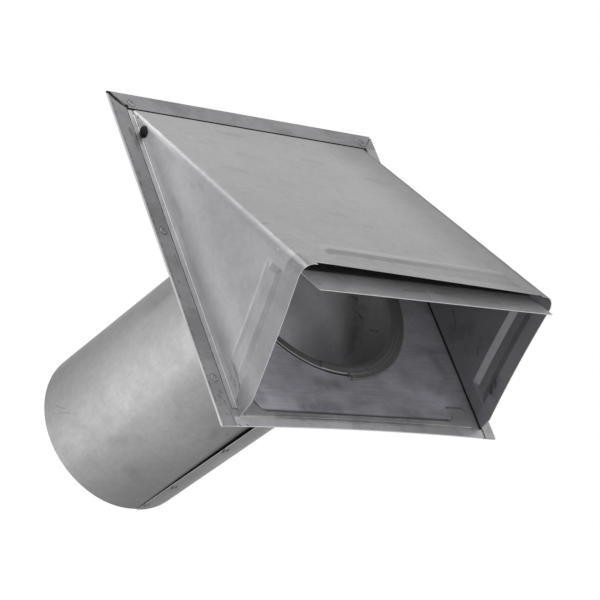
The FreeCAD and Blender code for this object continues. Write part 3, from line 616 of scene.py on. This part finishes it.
HOOD_DARK = [
    ((-124.2, -5.4, 144.0), (-124.4, -4.2, 142.2), 1.2, 0.8),
    ((-124.6, -2.6, 137.4), (-124.6, -2.2, 135.6), 1.0, 0.8),
    ((-125.0, -9.0, -103.0), (-125.0, -8.0, -107.0), 1.2, 0.6),
    ((-125.0, -12.0, -108.0), (-125.0, -11.0, -112.0), 1.1, 0.6),
    ((-125.0, -6.0, -98.0), (-125.0, -5.4, -101.0), 1.0, 0.5),
    ((-125.0, -5.0, -117.0), (-125.0, -4.0, -121.0), 1.2, 0.6),
    ((124.5, -22, -28), (124.3, -19, -40), 1.3, 0.5),
    ((124.8, -38, -64), (124.7, -36, -69), 1.2, 0.6),
    ((124.7, -31, -70), (124.6, -27, -76), 1.2, 0.6),
    ((127.2, -55, -78), (127.2, -55.6, -79), 1.2, 0.9),
    ((124.6, -29, -105), (124.6, -25, -110), 2.2, 0.8),
    ((124.8, -34, -104), (124.6, -31, -108), 1.8, 0.7),
    ((124.6, -24, -98), (124.6, -21, -106), 1.4, 0.6),
]
HOOD_LIGHT = [
    ((-129.7, -99.2, -49.4), (-129.7, -99.9, -51.3), 0.55, 0.45),
    ((-130.2, -103.9, -60.8), (-130.2, -104.4, -61.8), 0.5, 0.4),
    ((-126.2, -108.1, -56.2), (-125.6, -108.4, -57.4), 0.5, 0.4),
    ((-130.2, -108.9, -69.4), (-130.2, -109.4, -70.8), 0.5, 0.35),
]
DUCT_SMUDGES = [
    ((-68, 90, 44), (-68, 115, 46), 12, 0.16),
    ((-42, 228, -38), (-30, 235, -40), 12, 0.14),
    ((-26, 131, -56), (-20, 145, -57), 8, 0.14),
    ((-60, 120, -30), (-50, 140, -40), 8, 0.12),
    ((-62, 215, -18), (-55, 190, -30), 9, 0.12),
    # Darkens the inside of the duct's right wall near the wall plate
    ((75, 28, 14), (70, 45, -20), 22, 0.45),
]
DUCT_DARK = [
    ((-75.5, 262, 36), (-76, 240, 24), 0.9, 0.3),
    ((-75.5, 257, 41), (-76.1, 244, 30), 0.8, 0.3),
    ((-76.1, 252, 31), (-76.2, 236, 20), 0.8, 0.25),
    ((-12.9, 133.2, -58.3), (-12.0, 135.0, -58.2), 1.4, 0.6),
    ((74.6, 30, 16), (75.0, 27, 10), 1.4, 0.7),
    ((75.3, 32, -1), (75.2, 29, -8), 1.4, 0.7),
    ((71.8, 23, -22), (71.0, 19, -27), 1.4, 0.7),
    ((75.0, 36, 8), (75.2, 33, 1), 1.2, 0.6),
    ((70.2, 17, -27), (69.2, 13, -31), 1.2, 0.6),
]
DUCT_LIGHT = [
    # Painted highlight on the lit tip of the lap's cut end at the rim; the rest are bright
    # scratches
    ((3.8, -1.4, -88.6), (4.4, -1.4, -89.4), 1.5, 1.0),
    ((-74.5, 174.2, 3.9), (-69.9, 176.0, -10.4), 0.45, 0.3),
    ((-67.1, 174.0, -16.4), (-66.8, 174.4, -17.0), 0.7, 0.5),
]

# Painted shade in the stitches pressed through the duct's lap, and painted shadow in the slits in
# its rim
LAP_MARKS = [
    ((0.8, 157.4, -58.9), (3.0, 162.8, -58.2), 2.3, 1.0),
    ((4.2, 156.2, -58.9), (6.2, 160.8, -58.4), 2.2, 1.0),
    ((3.0, 234.4, -49.4), (4.8, 238.8, -49.0), 2.3, 1.0),
    ((6.4, 233.4, -49.4), (8.0, 237.4, -49.0), 2.2, 1.0),
    ((1.0, 273.0, -44.9), (2.6, 277.0, -44.4), 2.0, 0.9),
    ((4.2, 272.2, -44.9), (5.6, 276.0, -44.4), 2.0, 0.8),
    ((-0.3, -1.8, -85.4), (2.8, -1.6, -88.4), 2.2, 1.0),
    ((21.3, -2.1, -78.0), (22.8, -2.4, -82.3), 1.0, 0.7),
]

FLAP_DARK = [
    ((-27.3, -106.4, -80.3), (-2.7, -105.5, -78.6), 0.9, 0.8),
    ((7.0, -105.3, -78.3), (23.5, -105.5, -78.6), 0.9, 0.8),
    ((61.6, -108.1, -83.8), (72.8, -108.0, -83.6), 0.9, 0.8),
    ((81.0, -107.8, -83.2), (95.9, -107.6, -82.8), 0.9, 0.8),
    ((-89.8, -101.1, -69.6), (-83.1, -105.7, -79.1), 0.8, 0.4),
    ((-112.4, -108.8, -85.3), (-111.8, -108.8, -85.3), 1.3, 0.9),
]
PLATE_CLOUDS = [
    ((80.0, -0.6, -100.0), (92.0, -0.6, -106.0), 16.0, 1.0),
    ((-20.0, -0.6, -104.0), (20.0, -0.6, -106.0), 12.0, 0.4),
    ((40.0, -0.6, -92.0), (60.0, -0.6, -96.0), 10.0, 0.5),
]
PLATE_SMUDGES_AND_SHADOW = [
    ((-60.0, -0.6, -117.0), (-22.0, -0.6, -116.0), 10.0, 0.35),
    ((-34.0, -0.6, -96.0), (-14.0, -0.6, -95.0), 9.0, 0.25),
    ((28.0, -0.6, -116.0), (60.0, -0.6, -118.0), 8.0, 0.25),
    ((104.0, -0.6, -60.0), (110.0, -0.6, -84.0), 9.0, 0.25),
    # Painted shadow along the plate below the pressed bead
    ((-88.0, -1.0, -127.0), (60.0, -1.0, -127.5), 4.5, 0.35),
    ((-100.0, -0.6, -100.0), (-96.0, -0.6, -112.0), 8.0, 0.2),
]

# Shaded line of the bead pressed in the plate, with its two hooked ends
PRESS_LINES = [
    ((-97, -1.0, -122.2), (92, -1.0, -122.2), 2.5, 0.95),
    ((-119, -1.0, -128), (-119, -1.0, -110), 1.1, 0.35),
    ((-119, -1.0, -110), (-109, -1.0, -110), 1.1, 0.3),
    ((-107.5, -1.0, -109.0), (-105, -1.0, -117), 1.8, 0.75),
    ((-105, -1.0, -117), (-101, -1.0, -121), 2.0, 0.8),
    ((-101, -1.0, -121), (-97, -1.0, -122.2), 2.2, 0.85),
    ((95, -1.0, -110), (112, -1.0, -110), 2.2, 0.8),
    ((112, -1.0, -110), (116, -1.0, -114), 1.8, 0.65),
    ((116, -1.0, -114), (116, -1.0, -128), 1.2, 0.45),
]

# Painted shadow in the slit of the upper left mitre and in the slits at the rim, and dirt specks
# along the hems
MITRE_GAP = [
    ((-144.0, -1.6, 167.7), (-140.9, -2.0, 163.9), 2.9, 1.0),
    ((-140.9, -2.0, 163.9), (-137.9, -2.0, 160.1), 2.7, 1.0),
    ((-137.9, -2.0, 160.1), (-134.3, -2.0, 156.7), 2.3, 1.0),
    ((-134.3, -2.0, 156.7), (-130.6, -2.0, 154.2), 1.8, 1.0),
]
PLATE_MARKS = [
    ((-134.2, -2.0, 131.0), (-134.0, -2.0, 126.0), 3.0, 0.45),
    ((-133.0, -2.0, 118.0), (-132.6, -2.0, 111.0), 1.6, 0.3),
    ((-0.3, -0.6, -85.8), (3.4, -0.6, -89.6), 1.3, 1.0),
    ((21.3, -0.6, -78.4), (22.8, -0.6, -82.9), 0.9, 0.5),
    ((-127.6, -1.2, -136.0), (-126.4, -1.2, -136.9), 0.9, 0.8),
    ((-120.4, -1.2, -135.8), (-119.4, -1.2, -136.6), 0.9, 0.8),
    ((-135.6, -2.0, -108.0), (-135.2, -2.0, -110.5), 1.0, 0.7),
    ((-138.2, -2.0, -112.0), (-137.0, -2.0, -114.5), 1.0, 0.7),
    ((-134.6, -2.0, -116.0), (-134.2, -2.0, -120.0), 0.9, 0.6),
    ((-139.8, -2.0, -120.0), (-139.4, -2.0, -121.0), 0.8, 0.7),
    ((-137.4, -2.0, -128.0), (-134.5, -2.0, -128.6), 0.8, 0.5),
    ((-132.4, -2.0, -124.0), (-132.0, -2.0, -134.0), 0.7, 0.5),
    ((-140.6, -2.0, 90.0), (-140.2, -2.0, 84.0), 0.9, 0.5),
    ((-133.4, -2.0, 12.0), (-133.2, -2.0, 4.0), 0.9, 0.4),
    ((-138.6, -2.0, -12.0), (-138.4, -2.0, -14.0), 1.0, 0.6),
    ((-134.0, -2.0, -38.0), (-133.6, -2.0, -40.0), 0.9, 0.5),
]

# Painted light and shade on the hood, by place in mm: x across, y into the wall, z up, and along
# and deep under the top panel. A pair of numbers eases from 0 to 1, or to the two that follow it,
# and a band has two limits and their softness. A LOOK is the normal's part along one axis
LEFT_CHEEK = (-116.0, -121.0)
LEFT_CHEEK_TINT = (-116.0, -122.0, 0.0, 0.4)
RIGHT_CHEEK = (116.0, 122.0)
RIGHT_CHEEK_TINT = (112.0, 120.0)
LEFT_LOOK = (-0.2, -0.5)
RIGHT_LOOK = (0.2, 0.5)
TINTED_LOOK = (0.0, -0.4)
MARKED_LOOK = (0.4, 0.2)
PANEL_LOOK = (-0.6, -0.85)
PANEL_DEPTH = (5.0, 3.0)

CHEEK_FROM_WALL = (-8.0, -50.0, 1.34, 0.86)
CHEEK_UPPER = (0.0, 60.0)
CHEEK_UPPER_TONE = 1.13
CHEEK_MIDDLE = (40.0, 64.0, 6.0)
CHEEK_MIDDLE_FROM = (214.0, 220.0)
CHEEK_MIDDLE_TONE = 1.1
BEAD_BELOW = (12.0, 16.0)
BEAD_OUT = (-12.0, -16.5)
LEFT_BEAD_BANDS = (((219.4, 226.5, 1.3), 1.34), ((227.5, 234.5, 1.2), 0.86),
                   ((235.2, 241.5, 1.2), 0.68))
LEFT_FRONT = (241.0, 242.6)
LEFT_FRONT_TONE = 0.74
INNER_LEFT_TONE = 3.6
RIGHT_TONE = 0.75
RIGHT_FRONT = (243.0, 245.0)
RIGHT_FRONT_TONE = 1.2
RIGHT_SLOPE = (224.0, 230.0, 0.5)
RIGHT_SLOPE_TONE = 1.5

# Each band of the top bead has a tone on the left and one on the right
TOP_BEAD_ACROSS = (-93.0, 103.0, 2.5)
TOP_BEAD_CHANGE = (-20.0, 60.0)
TOP_BEAD_BANDS = (((221.2, 222.9, 0.5), (1.3, 1.3)), ((223.5, 229.5, 1.5), (1.1, 0.97)),
                  ((230.5, 238.5, 1.0), (0.66, 0.80)), ((239.5, 246.5, 1.0), (0.91, 0.83)))
PANEL_FRONT = (247.0, 260.0, 1.0)
PANEL_FRONT_TONE = 0.97
PANEL_RIGHT = (45.0, 125.0)
PANEL_RIGHT_TONE = 0.69
PANEL_DOWN = (60.0, 190.0, 1.11, 1.01)
# Painted highlight along the left cheek's root: the flange lighter, the bend a little darker
FLANGE_FRONT = (-2.4, -1.5)
FLANGE_ACROSS = (-129.0, -125.4, 0.3)
FLANGE_TONE = 1.25
BEND_FRONT = (-3.4, -2.6)
BEND_ACROSS = (-125.3, -124.0, 0.3)
BEND_TONE = 0.9


def along_panel(net):
    """Distance down the top panel, and depth under it, in mm."""
    offset = net.vector("SUBTRACT", net.place, PANEL_START)
    return (net.vector("DOT_PRODUCT", offset, DOWN_PANEL),
            net.vector("DOT_PRODUCT", offset, INTO_PANEL))


def hood_side(net):
    """The marks are on the panel, the left cheek's outer face and the right cheek's inner one."""
    return net.ease(net.look_x, *MARKED_LOOK)


def hood_inside(net):
    """Violet tint on the right cheek's inner face, and a little on the left cheek's outer one."""
    look = net.ease(net.look_x, *TINTED_LOOK)
    return net.most(net.times(net.ease(net.x, *RIGHT_CHEEK_TINT), look),
                    net.times(net.ease(net.x, *LEFT_CHEEK_TINT), look))


def hood_painted_light(net, tone):
    """Painted light and shade: bright near the wall, darker along the front bands, paler rear bead
    slopes.
    """
    along, depth = along_panel(net)
    left_end = net.ease(net.x, *LEFT_CHEEK)
    left = net.times(left_end, net.ease(net.look_x, *LEFT_LOOK))
    inner_left = net.times(left_end, net.ease(net.look_x, *RIGHT_LOOK))
    right = net.ease(net.x, *RIGHT_CHEEK)
    panel = net.times(net.ease(depth, *PANEL_DEPTH), net.ease(net.look_y, *PANEL_LOOK))
    bead = net.times(net.ease(depth, *BEAD_BELOW), net.ease(net.y, *BEAD_OUT))
    upper = net.times(left, net.ease(net.z, *CHEEK_UPPER))
    tone = net.shade(tone, (left, net.ease(net.y, *CHEEK_FROM_WALL)), (upper, CHEEK_UPPER_TONE))
    for limits, factor in LEFT_BEAD_BANDS:
        tone = net.shade(tone, (net.times(left, bead, net.within(along, *limits)), factor))
    middle = net.times(left, net.within(depth, *CHEEK_MIDDLE),
                       net.ease(along, *CHEEK_MIDDLE_FROM))
    tone = net.shade(tone, (net.times(left, net.ease(along, *LEFT_FRONT)), LEFT_FRONT_TONE),
                     (middle, CHEEK_MIDDLE_TONE))
    for limits, ends in TOP_BEAD_BANDS:
        band = net.times(panel, net.within(along, *limits), net.within(net.x, *TOP_BEAD_ACROSS))
        tone = net.shade(tone, (band, net.ease(net.x, *TOP_BEAD_CHANGE, *ends)))
    flange = net.times(net.ease(net.y, *FLANGE_FRONT), net.within(net.x, *FLANGE_ACROSS))
    bend = net.times(net.ease(net.y, *BEND_FRONT), net.within(net.x, *BEND_ACROSS))
    return net.shade(
        tone,
        (net.times(panel, net.within(along, *PANEL_FRONT)), PANEL_FRONT_TONE),
        (net.times(panel, net.ease(net.x, *PANEL_RIGHT)), PANEL_RIGHT_TONE),
        (panel, net.ease(along, *PANEL_DOWN)),
        (inner_left, INNER_LEFT_TONE),
        (flange, FLANGE_TONE),
        (bend, BEND_TONE),
        (net.times(right, net.ease(along, *RIGHT_FRONT)), RIGHT_FRONT_TONE),
        (right, RIGHT_TONE),
        (net.times(right, net.within(along, *RIGHT_SLOPE), bead), RIGHT_SLOPE_TONE))


# Painted highlights on the hood's cut edges and painted shadow in its gaps, by place in mm
CUT_LOOK = (0.75, 0.95)
CUT_HIGHLIGHT_FADE = (-110.0, -100.0, 1.0, 0.35)
HEM_LINE = ((151.4, 152.1), (-3.6, -3.0))
FLANGE_GAP = ((-131.0, -129.2, 0.2), (-2.0, -1.5))
FOLD_GAP = ((122.8, 125.9, 0.2), (-2.9, -2.3))
RAGGED = Layer(0.25, 4.0, 0.6, 0.3, 0.6, 0.6, 1.0, shift=9.0)
GAP_SHARE = 0.95


def hood_edge_highlights(net):
    """Painted highlight on the cut edge of the cheeks and of the top panel."""
    return net.times(net.facing(DOWN_PANEL, *CUT_LOOK), net.ease(net.x, *CUT_HIGHLIGHT_FADE))


def hood_gap_shadows(net):
    """Painted shadow where the top panel goes under the hem, and behind the cheeks' bends."""
    line = net.times(net.ease(net.z, *HEM_LINE[0]), net.ease(net.y, *HEM_LINE[1]))
    flange = net.times(net.within(net.x, *FLANGE_GAP[0]), net.ease(net.y, *FLANGE_GAP[1]))
    fold = net.times(net.within(net.x, *FOLD_GAP[0]), net.ease(net.y, *FOLD_GAP[1]))
    return net.times(net.most(line, net.times(flange, net.noise(RAGGED)), fold), GAP_SHARE)


# Painted light and shade on the duct, by how far up its side the place is, from -1 at the bottom
# to 1 at the top, by y in mm, and by mm past its rim. LOOKS_IN and LOOKS_OUT set the normal
# against the way out
DUCT_AXIS = (0.0, 0.99285, 0.119372)
UPPER_SIDE = (0.05, 0.65, 0.99, 0.62)
LOWER_SIDE = (-0.6, -1.0, 1.04, 0.66)
DUCT_TIP = (150.0, 275.0, 1.03, 0.86)
BELLY = ((-0.975, -0.45, 0.06), (100.0, 160.0))
BELLY_TONE = 1.12
FLANK = ((-0.25, 0.25, 0.15), (150.0, 210.0))
FLANK_TONE = 0.92
LOOKS_IN = (0.0, -30.0)
LOOKS_OUT = (40.0, 60.0)
INSIDE_TINT = (35.0, 60.0, 0.0, 0.55)
MARKS_CHANGE_SIDE = (28.0, 32.0)
TUBE_FAR = (70.0, 90.0, 1.2, 1.16)
TUBE_MIDDLE = (56.0, 70.0, 14.0, 0.45)
RIM_FRONT = (0.5, -0.8)
RIM_REACH = (-0.5, 0.5, 85.4, 89.6)
RIM_RINGS = (-1.6, -3.4, -6.4)
RING_HALF = 0.25
RING_SOFT = 0.2
RING_TONE = 0.62
RIM_TONE = 0.65
RIM_CUT = ((-0.75, -0.5), (-0.2, -0.8), (0.5, -0.5, 0.06, 0.95))
LAP_LOOK = (0.95, 0.99)
LAP_CUT = ((-0.3, 0.3, 0.1), (-30.0, -35.0, 0.0, 0.8))
DUCT_END_SHARE = 0.35
LAP_OPENING = ((-0.7, 9.0, 0.4), (-20.0, -30.0), (77.3, 77.1), (4.0, 8.0))
LAP_SHARE = 0.96


def from_axis(net):
    """Way out from the duct's axis."""
    along = net.math("DIVIDE", net.y, DUCT_AXIS[1])
    return net.vector("SUBTRACT", net.place, net.vector("SCALE", DUCT_AXIS, along))


def past_rim(net):
    """Distance outside the duct's turned-out rim, which is narrower on the left."""
    return net.math("SUBTRACT", net.vector("LENGTH", net.across()), net.ease(net.x, *RIM_REACH))


def tube_inside(net):
    """1 on the duct's inner face."""
    return net.ease(net.vector("DOT_PRODUCT", from_axis(net), net.normal), *LOOKS_IN)


def duct_side(net):
    """The marks are outside the duct on its left and inside it on its right."""
    inner = tube_inside(net)
    return net.blend(net.ease(net.x, *MARKS_CHANGE_SIDE), net.math("SUBTRACT", 1.0, inner), inner)


def duct_inside(net):
    """Violet tint inside the duct, away from its rim."""
    return net.times(tube_inside(net), net.ease(net.y, *INSIDE_TINT))


def duct_painted_light(net, tone):
    """Painted light and shade: bands along the duct by how far up its side, its darker tip, its
    paler inside, and darker rings on its darker rim.
    """
    height = net.split(net.vector("NORMALIZE", from_axis(net)))[2]
    outside = net.times(net.ease(height, *UPPER_SIDE), net.ease(height, *LOWER_SIDE),
                        net.ease(net.y, *DUCT_TIP))
    belly = net.times(net.within(height, *BELLY[0]), net.ease(net.y, *BELLY[1]))
    flank = net.times(net.within(height, *FLANK[0]), net.ease(net.y, *FLANK[1]))
    outside = net.shade(outside, (belly, BELLY_TONE), (flank, FLANK_TONE))
    inside = net.math("ADD", net.ease(net.y, *TUBE_FAR), net.within(net.y, *TUBE_MIDDLE))
    rim = net.ease(net.y, *RIM_FRONT)
    tone = net.times(tone, net.blend(net.most(tube_inside(net), rim), outside, inside))
    beyond = past_rim(net)
    for at in RIM_RINGS:
        ring = net.within(beyond, at - RING_HALF, at + RING_HALF, RING_SOFT)
        tone = net.shade(tone, (net.times(ring, rim), RING_TONE))
    return net.shade(tone, (rim, RIM_TONE))


def duct_edge_highlights(net):
    """Painted highlights on the cut edges at the duct's back end, at its lap and round its rim."""
    ring = net.times(net.ease(past_rim(net), *RIM_CUT[0]), net.ease(net.y, *RIM_CUT[1]),
                     net.ease(net.x, *RIM_CUT[2]))
    lap = net.times(net.facing((-1, 0, 0), *LAP_LOOK), net.within(net.x, *LAP_CUT[0]),
                    net.ease(net.z, *LAP_CUT[1]))
    return net.most(net.times(net.facing(DUCT_AXIS), DUCT_END_SHARE), lap, ring)


def duct_gap_shadows(net):
    """Painted shadow in the open lap under the duct, in its stitch marks and in the slits in the
    rim.
    """
    out = from_axis(net)
    facing_out = net.ease(net.vector("DOT_PRODUCT", out, net.normal), *LOOKS_OUT)
    across, up, reach, back = LAP_OPENING
    under = net.times(net.within(net.x, *across), net.ease(net.z, *up), facing_out,
                      net.ease(net.vector("LENGTH", out), *reach), net.ease(net.y, *back))
    return net.times(net.most(under, net.strokes(LAP_MARKS)), LAP_SHARE)


# Painted light and shade on the flap, in mm down it and x across
DOWN_FLAP = sloping(63.7)[0]
FLAP_SHADOW_EDGE = (101.5, 105.5)
FLAP_LIT = (104.0, 130.0, 1.85, 0.92)
FLAP_LEFT = (-100.0, 20.0, 1.4, 1.0)
FLAP_SHADE = 0.4
FLAP_CUT_SHARE = 0.75
HATCH = Layer(0.8, 2.0, 0.5, 0.58, 0.68, 1.0, 0.8, stretch=ROLLED_ACROSS, shift=4.0)


def flap_edge_highlight(net):
    """Painted highlight on the cut edge at the flap's front."""
    return net.times(net.facing(DOWN_FLAP), FLAP_CUT_SHARE)


def flap_painted_light_and_hatch(net, tone):
    """Painted shadow on the flap where it lies under the hood, and painted light on its front
    strip, brighter to the left, with a fine hatch.
    """
    down = net.vector("DOT_PRODUCT", net.place, DOWN_FLAP)
    lit_strip = net.times(net.ease(down, *FLAP_LIT), net.ease(net.x, *FLAP_LEFT))
    return net.times(tone, net.blend(net.ease(down, *FLAP_SHADOW_EDGE), FLAP_SHADE, lit_strip),
                     net.noise(HATCH))


# Roll lines, stains and painted light and shade on the wall plate, by place in mm: x across, y
# into the wall and z up
PLATE_FACE = ((-124.0, 124.0, 1.0), (-0.9, -0.7))
FACE_UP = (-120.0, -40.0, 1.24, 1.74)
FACE_LEFT = (-35.0, -95.0)
FACE_LEFT_TONE = 1.5
CLOUD_TONE = 1.28
ROLL_LINES = Layer(0.75, 3.0, 0.55, 0.42, 0.62, stretch=(0.04, 0.0, 1.0))
ROLL_BREAKS = Layer(0.05, 3.0, 0.6, 0.35, 0.6, stretch=(0.5, 1.0, 1.0))
ROLL_TONE = 0.86
STAIN = Layer(0.02, 5.0, 0.6, 0.42, 0.66, 1.06, 0.82, stretch=(1.0, 1.0, 1.6), warp=0.5, shift=1.3)
HEM_FRONT = (-1.3, -1.7)
LIP = (-127.5, -129.5)
LIP_ACROSS = (-60.0, 110.0, 1.6, 1.15)
OVER_MITRE = (22.5, 23.5)
LEFT_HEM = (-128.0, -131.0)
LEFT_HEM_UP = (-140.0, 110.0, 0.92, 0.68)
TOP_HEM = (152.5, 154.0)
TOP_HEM_TONE = 0.72

# Clinch buttons, at x and z in mm, with painted shade round them and in their dents, and a painted
# highlight on the lit side of their rims
BUTTONS = [(-136.3, 34.0), (-136.3, -97.0), (-123.6, 158.6),
           (122.8, 158.6), (130.5, 34.0), (130.5, -97.0)]
BUTTON_RIM = (2.2, 2.9, 0.25)
BUTTON_LIT_WAY = (0.26, 0.0, -0.19)
BUTTON_LIT_SIDE = (-0.4, 0.6, 0.25, 1.0)
BUTTON_SHADE_RING = (3.1, 3.7, 0.3)
BUTTON_DENT = (1.5, 1.9, 0.25)
BUTTON_TONES = (0.4, 1.7, 0.68)


def plate_side(net):
    """The marks are on the plate's front."""
    return net.ease(net.look_y, *MARKED_LOOK)


def plate_inside(net):
    """Violet tint on the plate's face between the hood's cheeks."""
    across, front = PLATE_FACE
    return net.times(net.within(net.x, *across), net.ease(net.y, *front), plate_side(net))


def button_painted_light(net, tone):
    """Painted shade round each clinch button and in its dent, and a painted highlight on the lit
    side of its raised rim.
    """
    front = plate_side(net)
    for x, z in BUTTONS:
        offset = net.across(x, z)
        far = net.vector("LENGTH", offset)
        lit = net.vector("DOT_PRODUCT", offset, BUTTON_LIT_WAY)
        lit_rim = net.times(net.within(far, *BUTTON_RIM), net.ease(lit, *BUTTON_LIT_SIDE))
        masks = (net.within(far, *BUTTON_SHADE_RING), lit_rim, net.within(far, *BUTTON_DENT))
        for mask, factor in zip(masks, BUTTON_TONES):
            tone = net.shade(tone, (net.times(mask, front), factor))
    return tone


def plate_lines_and_painted_light(net, tone):
    """Fine level lines from the rolls, stains and lighter clouds, with painted light on the face,
    brighter up and to the left, and on the lip, and painted shade on the hems.
    """
    hem = net.ease(net.y, *HEM_FRONT)
    front = plate_side(net)
    face = plate_inside(net)
    lines = net.times(net.noise(ROLL_LINES), net.noise(ROLL_BREAKS), face)
    tone = net.times(net.shade(tone, (lines, ROLL_TONE)), net.noise(STAIN))
    lip = net.times(net.ease(net.z, *LIP), front, net.ease(hem, 1.0, 0.0))
    above = net.ease(net.math("ADD", net.x, net.z), *OVER_MITRE)
    left_hem = net.times(hem, net.ease(net.x, *LEFT_HEM), net.math("SUBTRACT", 1.0, above))
    top_hem = net.times(hem, net.ease(net.z, *TOP_HEM), above)
    tone = net.shade(
        tone,
        (face, net.ease(net.z, *FACE_UP)),
        (net.times(face, net.ease(net.x, *FACE_LEFT)), FACE_LEFT_TONE),
        (net.times(net.strokes(PLATE_CLOUDS), front), CLOUD_TONE),
        (lip, net.ease(net.x, *LIP_ACROSS)),
        (left_hem, net.ease(net.z, *LEFT_HEM_UP)),
        (top_hem, TOP_HEM_TONE))
    return button_painted_light(net, tone)


# Painted highlights on the wall plate's cut edges and folds, and painted shadow in its gaps, by
# place in mm
LIP_CUT = ((0.9, 0.98), (-133.0, -134.0))
LIP_CUT_SHARE = 0.8
HEM_FOLD = (-144.0, -144.5)
HEM_FOLD_SHARE = 0.35
HEM_LOOK = (0.7, 0.9)
TOP_HEM_EDGE = (152.9, 153.9, 0.2)
LEFT_HEM_EDGE = (-131.0, -130.0, 0.2)
RIM_SHADOW = ((-0.5, 1.1, 0.3), (-0.9, -0.7), (0.5, -0.5, 0.4, 1.0))
PLATE_FOLD = ((124.0, 125.9, 0.3), (-1.2, -0.8))
OUTER_FOLD_SHADE = (-142.9, -142.1, 0.3)
SHADE_BREAKS = Layer(0.3, 4.0, 0.65, 0.45, 0.6, 0.0, 0.75, shift=15.0)
MITRE_EDGE = (0.25, 0.5)


def plate_edge_highlights(net):
    """Painted highlights on the cut edge of the bottom lip and on the fold of the left hem."""
    lip = net.times(net.facing((0, 0, -1), *LIP_CUT[0]), net.ease(net.z, *LIP_CUT[1]))
    fold = net.times(net.ease(net.x, *HEM_FOLD), HEM_FOLD_SHARE)
    return net.most(net.times(lip, LIP_CUT_SHARE), fold)


def plate_shadows_and_specks(net):
    """Painted shadow at the free edges of the hems, in the slits at the mitre, rim and folds,
    along the pressed bead and beside the left hem's outer fold, with dirt specks.
    """
    top = net.times(net.facing((0, 0, -1), *HEM_LOOK), net.within(net.z, *TOP_HEM_EDGE))
    left = net.times(net.facing((1, 0, 0), *HEM_LOOK), net.within(net.x, *LEFT_HEM_EDGE))
    shadow = net.times(net.within(past_rim(net), *RIM_SHADOW[0]), net.ease(net.y, *RIM_SHADOW[1]),
                       net.ease(net.x, *RIM_SHADOW[2]))
    fold = net.times(net.within(net.x, *PLATE_FOLD[0]), net.ease(net.y, *PLATE_FOLD[1]))
    outer = net.times(net.within(net.x, *OUTER_FOLD_SHADE), net.noise(SHADE_BREAKS))
    marks = net.strokes(PRESS_LINES + PLATE_MARKS)
    mitre = net.ease(net.strokes(MITRE_GAP), *MITRE_EDGE)
    return net.times(net.most(top, left, shadow, fold, outer, marks, mitre), GAP_SHARE)


# Bushes of plain black plastic
BUSH_COLOUR = (0.012, 0.012, 0.013, 1.0)
BUSH_ROUGHNESS = 0.3
BUSH_SHINE = 0.14


def black_plastic():
    net = Net("black_bush")
    for socket, value in (("Base Color", BUSH_COLOUR), ("Roughness", BUSH_ROUGHNESS),
                          ("Specular IOR Level", BUSH_SHINE)):
        net.shader.inputs[socket].default_value = value
    return net.material


def cover(piece, material):
    piece.data.materials.clear()
    piece.data.materials.append(material)


add_camera()
add_world()
add_floor()
for lamp, (at, size, power) in LAMPS.items():
    add_lamp(lamp, at, size, power)

nodes = frame["nodes"]
cover(nodes["wall_plate"], galvanised(
    "galvanised_plate", ROLLED_ACROSS, PLATE_HANDLED, PLATE_SMUDGES_AND_SHADOW, edges=plate_edge_highlights,
    gaps=plate_shadows_and_specks, tones=plate_lines_and_painted_light, tint=PLATE_TINT, side=plate_side, inner=plate_inside))
cover(make_hood_sheet(), galvanised(
    "galvanised_hood", ROLLED_ACROSS, HOOD_HANDLED, HOOD_SMUDGES, HOOD_DARK, HOOD_LIGHT,
    hood_edge_highlights, hood_gap_shadows, hood_painted_light, tint=HOOD_TINT, side=hood_side, inner=hood_inside))
cover(nodes["duct"], galvanised(
    "galvanised_duct", ROLLED_ALONG, DUCT_HANDLED, DUCT_SMUDGES, DUCT_DARK, DUCT_LIGHT,
    duct_edge_highlights, duct_gap_shadows, duct_painted_light, tint=DUCT_TINT, side=duct_side, inner=duct_inside))
cover(nodes["damper_flap"], galvanised(
    "galvanised_flap", ROLLED_ACROSS, PLATE_HANDLED, dark=FLAP_DARK, edges=flap_edge_highlight,
    tones=flap_painted_light_and_hatch))
cover(nodes["hinge_rod"], galvanised("plain_wire", rounding=0.0))
cover(make_bush_caps(), black_plastic())

bpy.context.scene.view_settings.view_transform = "Standard"
